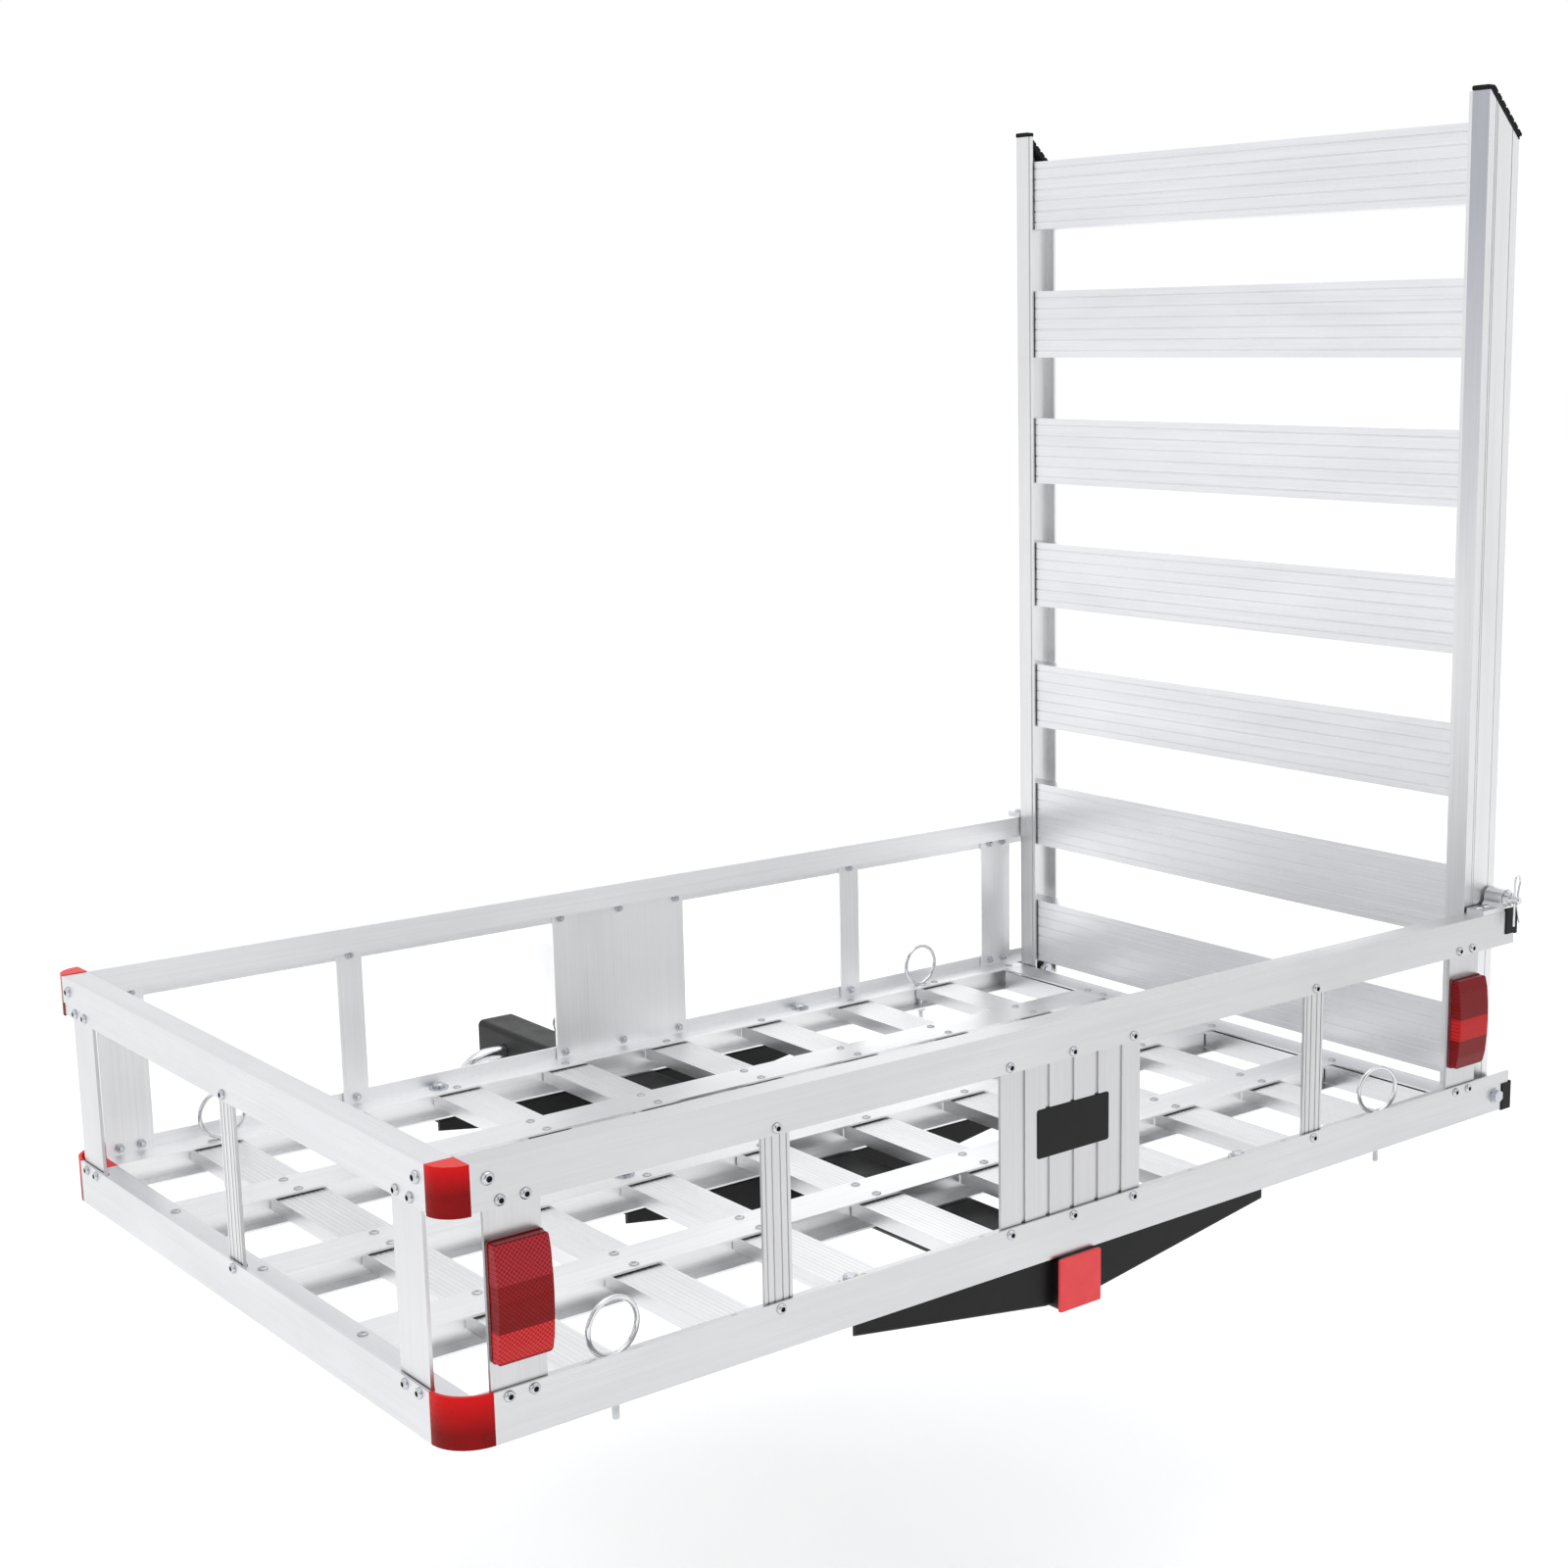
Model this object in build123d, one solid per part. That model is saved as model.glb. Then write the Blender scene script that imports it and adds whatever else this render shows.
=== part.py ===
"""Hitch cargo carrier with fold-up loading ramp.

An aluminium deck with low side rails rides on a black 2 inch hitch shank.
A full-height ramp stands upright across one short end and tips outward to
the ground.  Every named sub-part is written to parts/NAME.step.

Working frame while drawing (millimetres):
  x  along the long side of the deck, 0 at the closed end, ramp at the far end
  y  from the rear side (reflectors, shank plug) towards the towing vehicle
  z  up, 0 at the underside of the deck rails
Everything is shifted at export so that the origin is the centre of the
hitch pin hole in the shank: +Y points into the receiver, +Z is up.
"""
import math
import os
from build123d import *

os.makedirs("parts", exist_ok=True)

# ---------------------------------------------------------------- dimensions
LEN = 1270.0            # length of the long rails, closed corner to open end
WID = 778.0             # outside width over the long rails
MID_X = 624.0           # symmetry plane of posts and panels
SHANK_X = 626.0         # middle of the hitch shank
BEAM_X = 628.0          # middle of the cross beams

# lower frame rails
LOW_H = 28.7            # top of the deck flange
LOW_LIP = 42.0          # top of the lip the posts are screwed to
LOW_BOX = 18.0          # hollow body of the rail, measured from the outer face
LOW_FLANGE = 34.0       # deck flange reaches this far in
WALL = 2.0
LIP_T = 2.5
LOW_R = 35.0            # corner radius, lower
CUT_X = 1214.0          # deck flange of the long rails ends here, ramp beyond

# upper rails
TOP_Z0 = 186.0          # underside of the lip
TOP_BOX0 = 198.0        # underside of the tube
TOP_Z1 = 224.0          # top of the tube
TOP_D = 24.0            # tube depth
TOP_R = 24.0            # corner radius, upper
STEP = 0.8              # lip sits this far back from the tube face

# deck
MID_W = 50.0            # width of the lengthwise deck rails
MID_BOX = 18.0          # hollow body of those rails
MID_YC = [199.0, 389.0, 579.0]
END_X0, END_X1 = 1180.0, 1214.0
SLAT_X0, SLAT_PITCH, SLAT_W, SLAT_N = 112.0, 133.2, 50.0, 8
SLAT_Z1 = 25.2
SLAT_T = 14.0
SLAT_TUCK = 14.0

# posts, panels
WIDE_W, SLIM_W, POST_T = 48.0, 28.0, 3.0
WIDE_X = [MID_X - 565.5, MID_X + 564.5]
SLIM_X = [MID_X - 326.5, MID_X + 327.0]
PANEL_W = 171.0
END_POST_Y = [62.0, WID - 62.0]
END_SLIM_Y = 389.0
SCREW_ZL, SCREW_ZU = 36.0, 191.5
SCREW_R = 2.5

# hitch
SHANK = 50.8
SHANK_WALL = 5.0
SHANK_TOP = -0.5
SHANK_R = 7.0
PLUG_T = 3.0
SHANK_Y0, SHANK_Y1 = -4.3, 1073.0
PIN_Y = 1010.0
PIN_Z = SHANK_TOP - SHANK / 2
PIN_R = 7.9
PIN_HOLE_R = 8.6
BEAM_Y = [4.3, 366.0, 743.0]       # rear face of each cross beam
BEAM_D = 34.0
BEAM_HALF = 252.0
BEAM_T = 4.0
BEAM_FOLD = 3.0         # outside radius of the folds
FAR_BOLT = 13.5         # bolts of the far beam, in from the outer face

# ramp
RAMP_X0, RAMP_X1 = 1216.0, 1266.0
RAMP_Y0 = 26.0                      # outer face of the near side channel
RAMP_FL = 27.0                      # front flange width
RAMP_BACK = 15.0                    # back flange width
RAMP_T = 3.0
RAMP_Z0, RAMP_Z1 = 10.0, 1074.2
RAMP_LEAN = 0.3                     # the folded ramp leans this many degrees over the deck
RAMP_STRIP = 5.0                    # recessed inner strip of the front flange
FOOT_SLOPE = 0.96                   # drop per millimetre of the slanted ramp end
TREAD_Z0, TREAD_PITCH, TREAD_H, TREAD_D, TREAD_N = 37.5, 154.4, 80.3, 25.0, 7
PIV_X, PIV_Z = 1247.0, 17.7
BOLT_R = 5.0

# latch
LATCH_X, LATCH_Z = 1256.0, 237.0
LPIN_R = 4.0
WIRE_R = 1.25

OX, OY, OZ = SHANK_X, PIN_Y, PIN_Z
NODES = {}


# ------------------------------------------------------------------- helpers
def box(x0, x1, y0, y1, z0, z1):
    return Pos((x0 + x1) / 2, (y0 + y1) / 2, (z0 + z1) / 2) * Box(x1 - x0, y1 - y0, z1 - z0)


def prism(pts, vec):
    face = make_face(Polyline(*pts, close=True))
    return Solid.extrude(face.face(), Vector(*vec))


def prism_x(yz, x0, x1):
    return prism([(x0, a, b) for a, b in yz], (x1 - x0, 0, 0))


def prism_y(xz, y0, y1):
    return prism([(a, y0, b) for a, b in xz], (0, y1 - y0, 0))


def prism_z(xy, z0, z1):
    return prism([(a, b, z0) for a, b in xy], (0, 0, z1 - z0))


def cyl(p, d, r, h):
    """Cylinder of radius r from point p along unit axis d for length h."""
    return Solid.make_cylinder(r, h, Plane(origin=p, z_dir=d))


def hexa(p, d, af, h):
    pl = Plane(origin=p, z_dir=d)
    return extrude(pl * RegularPolygon(af / math.sqrt(3), 6), amount=h, dir=Vector(*d))


def wire_rod(pts, r, radius):
    """Round rod of radius r following pts with bends of the given radius."""
    path = FilletPolyline(*pts, radius=radius)
    w = path.wire() if hasattr(path, "wire") else path
    start = Plane(origin=w @ 0, z_dir=w % 0)
    return sweep(start * Circle(r), path=w)


def fuse(items):
    out = items[0]
    for it in items[1:]:
        out = out + it
    return out


def solids_of(obj):
    if isinstance(obj, (list, tuple)):
        got = []
        for o in obj:
            got += solids_of(o)
        return got
    return list(obj.solids())


def put(name, obj):
    sol = solids_of(obj)
    NODES[name] = Compound(children=[]) if not sol else (sol[0] if len(sol) == 1 else Compound(sol))


def mirror_y(obj):
    """Mirror across the middle of the deck width."""
    pl = Plane(origin=(0, WID / 2, 0), z_dir=(0, 1, 0))
    if isinstance(obj, (list, tuple)):
        return [mirror_y(o) for o in obj]
    return obj.mirror(pl)


def button(p, d, r=SCREW_R, head=4.6, hh=2.6, length=12.0):
    """Button-head socket screw: head outside the face, shank along d."""
    o = Vector(*p)
    v = Vector(*d)
    s = cyl(tuple(o), d, r, length)
    hd = cyl(tuple(o - v * hh), d, head, hh)
    hd = fillet(hd.edges().filter_by(GeomType.CIRCLE).group_by(
        Axis(tuple(o), d))[0], hh * 0.8)
    sock = hexa(tuple(o - v * hh), d, 2 * head * 0.42, hh * 0.6)
    return (hd + s) - sock


# ---------------------------------------------------------- lower frame rails
def low_profile():
    """Section of a lower rail: hollow body, deck flange, pocket below it, lip."""
    outer = [(0, 0), (LOW_FLANGE, 0), (LOW_FLANGE, WALL), (LOW_BOX, WALL),
             (LOW_BOX, LOW_H - WALL), (LOW_FLANGE, LOW_H - WALL), (LOW_FLANGE, LOW_H),
             (LIP_T, LOW_H), (LIP_T, LOW_LIP), (0, LOW_LIP)]
    hollow = [(WALL, WALL), (LOW_BOX - WALL, WALL), (LOW_BOX - WALL, LOW_H - WALL), (WALL, LOW_H - WALL)]
    return outer, hollow


def low_rail_near():
    o, h = low_profile()
    r = prism_x(o, LOW_R, LEN) - prism_x(h, LOW_R - 1, LEN + 1)
    # the open end keeps only the hollow body and the lip, so the ramp clears it
    r -= box(CUT_X, LEN + 1, LOW_BOX, LOW_FLANGE + 1, -1, LOW_H + 1)
    return r


near = low_rail_near()
far = mirror_y(low_rail_near())
o, h = low_profile()
left = prism_y(o, LOW_R, WID - LOW_R) - prism_y(h, LOW_R - 1, WID - LOW_R + 1)
# the flanges of the left rail stop where the flanges of the long rails pass
for y0, y1 in ((LOW_R - 1, LOW_FLANGE + 0.0), (WID - LOW_FLANGE, WID - LOW_R + 1)):
    if y1 > y0:
        left -= box(LOW_BOX, LOW_FLANGE + 1, y0, y1, -1, LOW_H + 1)

# ------------------------------------------------------------ deck rails
mid_rails = []
for yc in MID_YC:
    a, b = yc - MID_W / 2, yc + MID_W / 2
    c, d = yc - MID_BOX / 2, yc + MID_BOX / 2
    prof = [(a, 0), (b, 0), (b, WALL), (d, WALL), (d, LOW_H - WALL), (b, LOW_H - WALL),
            (b, LOW_H), (a, LOW_H), (a, LOW_H - WALL), (c, LOW_H - WALL), (c, WALL), (a, WALL)]
    hol = [(c + WALL, WALL), (d - WALL, WALL), (d - WALL, LOW_H - WALL), (c + WALL, LOW_H - WALL)]
    rail = prism_x(prof, LOW_FLANGE, END_X0) - prism_x(hol, LOW_FLANGE - 1, END_X0 + 1)
    # tongue under the flange of the left rail
    tongue = box(LOW_BOX, LOW_FLANGE + 12, c, d, WALL, LOW_H - WALL) - box(
        LOW_BOX - 1, LOW_FLANGE + 13, c + WALL, d - WALL, 2 * WALL, LOW_H - 2 * WALL)
    # flat tongue into the slot of the end rail
    flat = box(END_X0 - 14, END_X0 + 14, a + 1, b - 1, LOW_H - 2 * WALL - 0.3, LOW_H - WALL)
    mid_rails.append(rail + tongue + flat)

# end rail in front of the ramp: hollow body with a slotted near edge
er = box(END_X0 + 1.5, END_X1, LOW_FLANGE, WID - LOW_FLANGE, 0, LOW_H) + box(
    END_X0, END_X1, LOW_FLANGE, WID - LOW_FLANGE, LOW_H - WALL, LOW_H)
er -= box(END_X0 + 3.5, END_X1 - WALL, LOW_FLANGE - 1, WID - LOW_FLANGE + 1, WALL, LOW_H - WALL)
er -= box(END_X0 - 1, END_X0 + 5, LOW_FLANGE - 1, WID - LOW_FLANGE + 1, LOW_H - 2 * WALL - 0.3, LOW_H - WALL)
# flat ends run under the deck flanges of the long rails
for ya, yb in ((LOW_BOX, LOW_FLANGE + 12), (WID - LOW_FLANGE - 12, WID - LOW_BOX)):
    er += box(END_X0 + 4, END_X1 - 4, ya, yb, LOW_H - 2 * WALL - 0.3, LOW_H - WALL)

# ------------------------------------------------------------ slats
rows = [(LOW_FLANGE, MID_YC[0] - MID_W / 2), (MID_YC[0] + MID_W / 2, MID_YC[1] - MID_W / 2),
        (MID_YC[1] + MID_W / 2, MID_YC[2] - MID_W / 2), (MID_YC[2] + MID_W / 2, WID - LOW_FLANGE)]
EYES = [(152.0, 23.0, 5), (1075.0, 23.0, -12), (146.0, WID - 23.0, 3), (1048.5, WID - 23.0, 3)]
EYE_STUD_R = 3.0
EYE_RING_R, EYE_WIRE_R, EYE_Z = 23.7, 2.3, 55.0


def slat(x0, ya, yb):
    """Shallow channel with a finely ribbed top, open underneath."""
    n, g = 9, 0.45
    pitch = (SLAT_W - 4) / n
    pts = [(x0, SLAT_Z1 - SLAT_T), (x0 + 1.6, SLAT_Z1 - SLAT_T), (x0 + 1.6, SLAT_Z1 - 2.2),
           (x0 + SLAT_W - 1.6, SLAT_Z1 - 2.2), (x0 + SLAT_W - 1.6, SLAT_Z1 - SLAT_T),
           (x0 + SLAT_W, SLAT_Z1 - SLAT_T), (x0 + SLAT_W, SLAT_Z1)]
    x = x0 + SLAT_W - 2 - pitch / 2
    for _ in range(n):
        pts += [(x + 0.7, SLAT_Z1), (x, SLAT_Z1 - g), (x - 0.7, SLAT_Z1)]
        x -= pitch
    pts += [(x0, SLAT_Z1)]
    return prism_y(pts, ya, yb)


rivets = []


def rivet(x, y, ztop, depth=7.0):
    """Dome-head rivet: shank down from the dome."""
    s = cyl((x, y, ztop - depth), (0, 0, 1), 2.2, depth)
    d = cyl((x, y, ztop), (0, 0, 1), 4.6, 1.7)
    d = fillet(d.edges().filter_by(GeomType.CIRCLE).sort_by(Axis.Z)[-1], 1.4)
    return s + d


slat_rows = []
for (ya, yb) in rows:
    row = []
    for i in range(SLAT_N):
        x0 = SLAT_X0 + i * SLAT_PITCH
        sl = slat(x0, ya - SLAT_TUCK, yb + SLAT_TUCK)
        for yy in (ya - 8.5, yb + 8.5):
            xc = x0 + SLAT_W / 2
            # rivets beside an eye bolt sit a little off the slat's middle
            if i == 0 and yy > WID - 40:
                xc -= 4.0
            if i == SLAT_N - 1 and yy < 40:
                xc -= 11.0
            rivets.append((xc, yy))
            sl -= cyl((xc, yy, SLAT_Z1 - 8), (0, 0, 1), 2.2, 20)
        for ex, ey, _ in EYES:
            if x0 < ex < x0 + SLAT_W and ya - 20 < ey < yb + 20:
                sl -= cyl((ex, ey, -5), (0, 0, 1), EYE_STUD_R + 0.2, 60)
        for sgn in (-1, 1):
            bx = BEAM_X + sgn * 240.0
            for by in (26.0, MID_YC[1], WID - FAR_BOLT):
                if x0 - 5 < bx < x0 + SLAT_W + 5 and ya - 20 < by < yb + 20:
                    sl -= cyl((bx, by, -5), (0, 0, 1), 4.2, 60)
        row.append(sl)
    slat_rows.append(row)

extra = [(26.0, yc) for yc in MID_YC]
for yc in MID_YC:
    extra += [(END_X0 + 8, yc - 14), (END_X0 + 8, yc + 14)]
extra += [(END_X0 + 14, 26.0), (END_X0 + 14, WID - 26.0)]
all_rivets = rivets + extra
rivet_solids = [rivet(x, y, LOW_H) for x, y in all_rivets]


def drill(obj, pts, r, z0, z1):
    for x, y in pts:
        obj = obj - cyl((x, y, z0), (0, 0, 1), r, z1 - z0)
    return obj


def near_pts(pts, y0, y1, x0=-1e9, x1=1e9):
    return [(x, y) for x, y in pts if y0 < y < y1 and x0 < x < x1]


near = drill(near, near_pts(all_rivets, 0, LOW_FLANGE, LOW_FLANGE), 2.2, LOW_H - 8, LOW_H + 1)
far = drill(far, near_pts(all_rivets, WID - LOW_FLANGE, WID, LOW_FLANGE), 2.2, LOW_H - 8, LOW_H + 1)
left = drill(left, near_pts(all_rivets, 0, WID, 0, LOW_FLANGE), 2.2, LOW_H - 8, LOW_H + 1)
mid_rails = [drill(r, near_pts(all_rivets, yc - MID_W / 2, yc + MID_W / 2), 2.2, LOW_H - 8, LOW_H + 1)
             for r, yc in zip(mid_rails, MID_YC)]
er = drill(er, near_pts(all_rivets, 0, WID, END_X0, END_X1), 2.2, LOW_H - 8, LOW_H + 1)
near = drill(near, [(x, y) for x, y, _ in EYES[:2]], EYE_STUD_R + 0.2, -1, LOW_H + 1)
far = drill(far, [(x, y) for x, y, _ in EYES[2:]], EYE_STUD_R + 0.2, -1, LOW_H + 1)

# ------------------------------------------------------------ cross beams, shank
BEAM_YC = [26.0, MID_YC[1], WID - FAR_BOLT]


def cross_beam(y0, yc):
    """Folded tapered channel with its web to the rear, notched over the shank."""
    xa, xb = BEAM_X - BEAM_HALF, BEAM_X + BEAM_HALF
    s = SHANK / 2
    zt = -13.0
    zb = SHANK_TOP - SHANK + 4.5
    solid = prism_y([(xa, 0), (xb, 0), (xb, zt), (SHANK_X + s + 6, zb), (SHANK_X - s - 6, zb), (xa, zt)],
                    y0, y0 + BEAM_D)
    inner = prism_y([(xa - 1, -BEAM_T), (xb + 1, -BEAM_T), (xb + 1, zt + BEAM_T),
                     (SHANK_X + s + 6, zb + BEAM_T), (SHANK_X - s - 6, zb + BEAM_T), (xa - 1, zt + BEAM_T)],
                    y0 + BEAM_T, y0 + BEAM_D + 1)
    b = solid
    folds = [e for e in b.edges() if abs(e.center().Y - y0) < 0.01 and e.bounding_box().size.X > 60]
    b = fillet(folds, BEAM_FOLD)
    b = b - inner
    # mitred flange ends: the lower one starts well inside the web's end
    for e, sg in ((xa, 1), (xb, -1)):
        b -= prism_z([(e - sg, y0 + BEAM_T), (e + sg * 30, y0 + BEAM_T), (e + sg * 62, y0 + BEAM_D + 1),
                      (e - sg, y0 + BEAM_D + 1)], zb - 5, zt + BEAM_T + 0.8)
        b -= prism_z([(e - sg, y0 + 24), (e, y0 + 24), (e + sg * 11, y0 + BEAM_D + 1),
                      (e - sg, y0 + BEAM_D + 1)], -BEAM_T - 1, 1)
    # two wings, one welded to each side of the shank
    b -= box(SHANK_X - s, SHANK_X + s, y0 - 1, y0 + BEAM_D + 1, zb - 5, 1)
    return b


beams = []
bolts, bolt_nuts, bolt_pts = [], [], []
for y0, yc in zip(BEAM_Y, BEAM_YC):
    b = cross_beam(y0, yc)
    for sx in (-1, 1):
        bx = BEAM_X + sx * 240.0
        bolt_pts.append((bx, yc))
        b -= cyl((bx, yc, -30), (0, 0, 1), 4.2, 40)
        # low domed head on a wide washer on top of the rail
        wsh = cyl((bx, yc, LOW_H), (0, 0, 1), 10.4, 1.6)
        hd = cyl((bx, yc, LOW_H + 1.6), (0, 0, 1), 6.8, 4.2)
        hd = fillet(hd.edges().filter_by(GeomType.CIRCLE).sort_by(Axis.Z)[-1], 3.2)
        sh = cyl((bx, yc, -9.5), (0, 0, 1), 4.0, LOW_H + 9.5 + 1.6)
        bolts.append(wsh + hd + sh)
        bolt_nuts.append(hexa((bx, yc, -BEAM_T - 4.4), (0, 0, 1), 11.0, 4.4) - cyl((bx, yc, -12), (0, 0, 1), 4.0, 12))
    beams.append(b)
near = drill(near, near_pts(bolt_pts, 0, 40), 4.2, -1, LOW_H + 1)
far = drill(far, near_pts(bolt_pts, WID - 40, WID), 4.2, -1, LOW_H + 1)
mid_rails[1] = drill(mid_rails[1], near_pts(bolt_pts, 300, 450), 4.2, -1, LOW_H + 1)

sx0, sx1 = SHANK_X - SHANK / 2, SHANK_X + SHANK / 2
sz0, sz1 = SHANK_TOP - SHANK, SHANK_TOP
tube = box(sx0, sx1, SHANK_Y0, SHANK_Y1, sz0, sz1)
tube = fillet(tube.edges().filter_by(Axis.Y), SHANK_R)
bore = box(sx0 + SHANK_WALL, sx1 - SHANK_WALL, SHANK_Y0 - 1, SHANK_Y1 + 1, sz0 + SHANK_WALL, sz1 - SHANK_WALL)
bore = fillet(bore.edges().filter_by(Axis.Y), 2.0)
tube = tube - bore - cyl((sx0 - 5, PIN_Y, PIN_Z), (1, 0, 0), PIN_HOLE_R, SHANK + 10)
cap = box(sx0, sx1, SHANK_Y0 - PLUG_T, SHANK_Y0, sz0, sz1)
cap = fillet(cap.edges().filter_by(Axis.Y), 2.0)
cap = fillet(cap.edges().group_by(Axis.Y)[0], 0.9)
stem = box(sx0 + SHANK_WALL, sx1 - SHANK_WALL, SHANK_Y0, SHANK_Y0 + 18, sz0 + SHANK_WALL, sz1 - SHANK_WALL)
stem = fillet(stem.edges().filter_by(Axis.Y), 2.2)
cap += stem - box(
    sx0 + SHANK_WALL + 3, sx1 - SHANK_WALL - 3, SHANK_Y0 + 0.5, SHANK_Y0 + 19, sz0 + SHANK_WALL + 3, sz1 - SHANK_WALL - 3)

# hitch pin: straight shaft, bent grip on the -x side, cross hole for the clip
HOLE_X = sx1 + 27.0
pin = wire_rod([(HOLE_X + 9, PIN_Y, PIN_Z), (sx0 - 44, PIN_Y, PIN_Z),
                (sx0 - 70, PIN_Y + 12, PIN_Z - 54)], PIN_R, 36)
pin -= cyl((HOLE_X, PIN_Y, PIN_Z - 20), (0, 0, 1), 2.3, 40)
tip = cyl((HOLE_X + 9, PIN_Y, PIN_Z), (1, 0, 0), PIN_R, 4)
tip = chamfer(tip.edges().filter_by(GeomType.CIRCLE).sort_by(Axis.X)[-1], 2.5)
pin = pin + tip


def r_clip(cx, cy, cz, hole_r, wire, up, down, loop, plane_x=1):
    """Hairpin clip: straight leg down through (cx, cy), spring leg round the +x side."""
    off = hole_r + wire + 0.45
    pts = [(cx, cy, cz - down), (cx, cy, cz + up), (cx + loop, cy, cz + up + loop * 1.1),
           (cx + 2 * loop, cy, cz + up), (cx + off + 0.6, cy, cz + up * 0.55),
           (cx + off + 0.6, cy, cz - hole_r * 0.9), (cx + off, cy, cz - hole_r * 1.7),
           (cx + off + 4.0, cy, cz - down * 0.86)]
    return wire_rod(pts, wire, loop * 0.34)


hitch_clip = r_clip(0, 0, 0, PIN_R, 1.8, 18.0, 34.0, 7.0)
hitch_clip = Pos(HOLE_X, PIN_Y, PIN_Z) * (Rot(0, 0, 90) * hitch_clip)

# ------------------------------------------------------------ upper rails
def top_profile():
    outer = [(0, TOP_BOX0), (STEP, TOP_BOX0), (STEP, TOP_Z0), (LIP_T + STEP, TOP_Z0),
             (LIP_T + STEP, TOP_BOX0), (TOP_D, TOP_BOX0), (TOP_D, TOP_Z1), (0, TOP_Z1)]
    hollow = [(WALL, TOP_BOX0 + WALL), (TOP_D - WALL, TOP_BOX0 + WALL),
              (TOP_D - WALL, TOP_Z1 - WALL), (WALL, TOP_Z1 - WALL)]
    return outer, hollow


def top_rail_near():
    o, h = top_profile()
    return prism_x(o, TOP_R, LEN) - prism_x(h, TOP_R - 1, LEN + 1)


tnear = top_rail_near()
tfar = mirror_y(top_rail_near())
o, h = top_profile()
tleft = prism_y(o, TOP_R, WID - TOP_R) - prism_y(h, TOP_R - 1, WID - TOP_R + 1)

# ------------------------------------------------------------ corner caps
def quarter(r, z0, z1):
    c = Solid.make_cylinder(r, z1 - z0, Plane(origin=(r, r, z0), z_dir=(0, 0, 1)))
    return c & box(0, r, 0, r, z0, z1)


cap_top = quarter(TOP_R, TOP_Z0 - 1.5, TOP_Z1 + 0.6)
cap_top += box(TOP_R, TOP_R + 16, WALL, TOP_D - WALL, TOP_BOX0 + WALL, TOP_Z1 - WALL)
cap_top += box(WALL, TOP_D - WALL, TOP_R, TOP_R + 16, TOP_BOX0 + WALL, TOP_Z1 - WALL)
cap_low = quarter(LOW_R, 0, LOW_H)
cap_low += quarter(LOW_R, LOW_H, LOW_LIP + 0.6) - Solid.make_cylinder(
    LOW_R - LIP_T - 0.5, 40, Plane(origin=(LOW_R, LOW_R, LOW_H), z_dir=(0, 0, 1)))
cap_low += box(LOW_R, LOW_R + 12, WALL, LOW_BOX - WALL, WALL, LOW_H - WALL)
cap_low += box(WALL, LOW_BOX - WALL, LOW_R, LOW_R + 12, WALL, LOW_H - WALL)

# ------------------------------------------------------------ posts and panels
def flat_post(xc, w, ribs, z0=LOW_H, z1=TOP_BOX0):
    """Flat upright strip; ribs lists (offset, width, height) raised lines on the inside."""
    p = box(xc - w / 2, xc + w / 2, LIP_T + STEP, LIP_T + STEP + POST_T, z0, z1)
    # shallow lines drawn into the outer face between the two lips
    for off in ribs:
        p -= box(xc + off - 0.6, xc + off + 0.6, LIP_T + STEP - 1, LIP_T + STEP + 0.8, z0 - 1, z1 + 1)
    return p


wide_near = [flat_post(x, WIDE_W, ()) for x in WIDE_X]
slim_near = [flat_post(x, SLIM_W, (-10.5, -4.0, 4.0, 10.5)) for x in SLIM_X]
panel_near = box(MID_X - PANEL_W / 2, MID_X + PANEL_W / 2, LIP_T + STEP, LIP_T + STEP + POST_T, LOW_H, TOP_BOX0)
GROOVES = [-59.0, -29.7, 0.3, 30.3, 60.2]
for g in GROOVES:
    panel_near -= box(MID_X + g - 2.4, MID_X + g + 2.4, LIP_T, LIP_T + STEP + 1.6, LOW_H - 1, TOP_BOX0 + 1)
label = box(581.5, 669.5, LIP_T + STEP - 0.6, LIP_T + STEP, 98.0, 144.0)
panel_far = mirror_y(box(MID_X - PANEL_W / 2, MID_X + PANEL_W / 2, LIP_T + STEP, LIP_T + STEP + POST_T, LOW_H, TOP_BOX0))

# triangular bracket plates behind the far panel, with a slot along the joint
gussets = []
PF = WID - LIP_T - STEP
for gx in (MID_X - PANEL_W / 2 + 1.0, MID_X + PANEL_W / 2 - 3.5):
    tri = prism_x([(PF, 161), (PF + 44, 157), (PF + 46, 152), (PF + 2, 102), (PF, 102)], gx, gx + 2.5)
    tri -= box(gx - 1, gx + 4, PF - 1, PF + 1.2, 110, 146)
    gussets.append(tri)

# uprights of the closed end, screwed behind the lips of the left rails
def end_post(yc, w, ribs):
    p = box(LIP_T + STEP, LIP_T + STEP + POST_T, yc - w / 2, yc + w / 2, LOW_H, TOP_BOX0)
    for off in ribs:
        p -= box(LIP_T + STEP - 1, LIP_T + STEP + 0.8, yc + off - 0.6, yc + off + 0.6, LOW_H - 1, TOP_BOX0 + 1)
    return p


end_wide = [end_post(y, WIDE_W, ()) for y in END_POST_Y]
end_slim = end_post(END_SLIM_Y, SLIM_W, (-10.5, -4.0, 4.0, 10.5))

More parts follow.
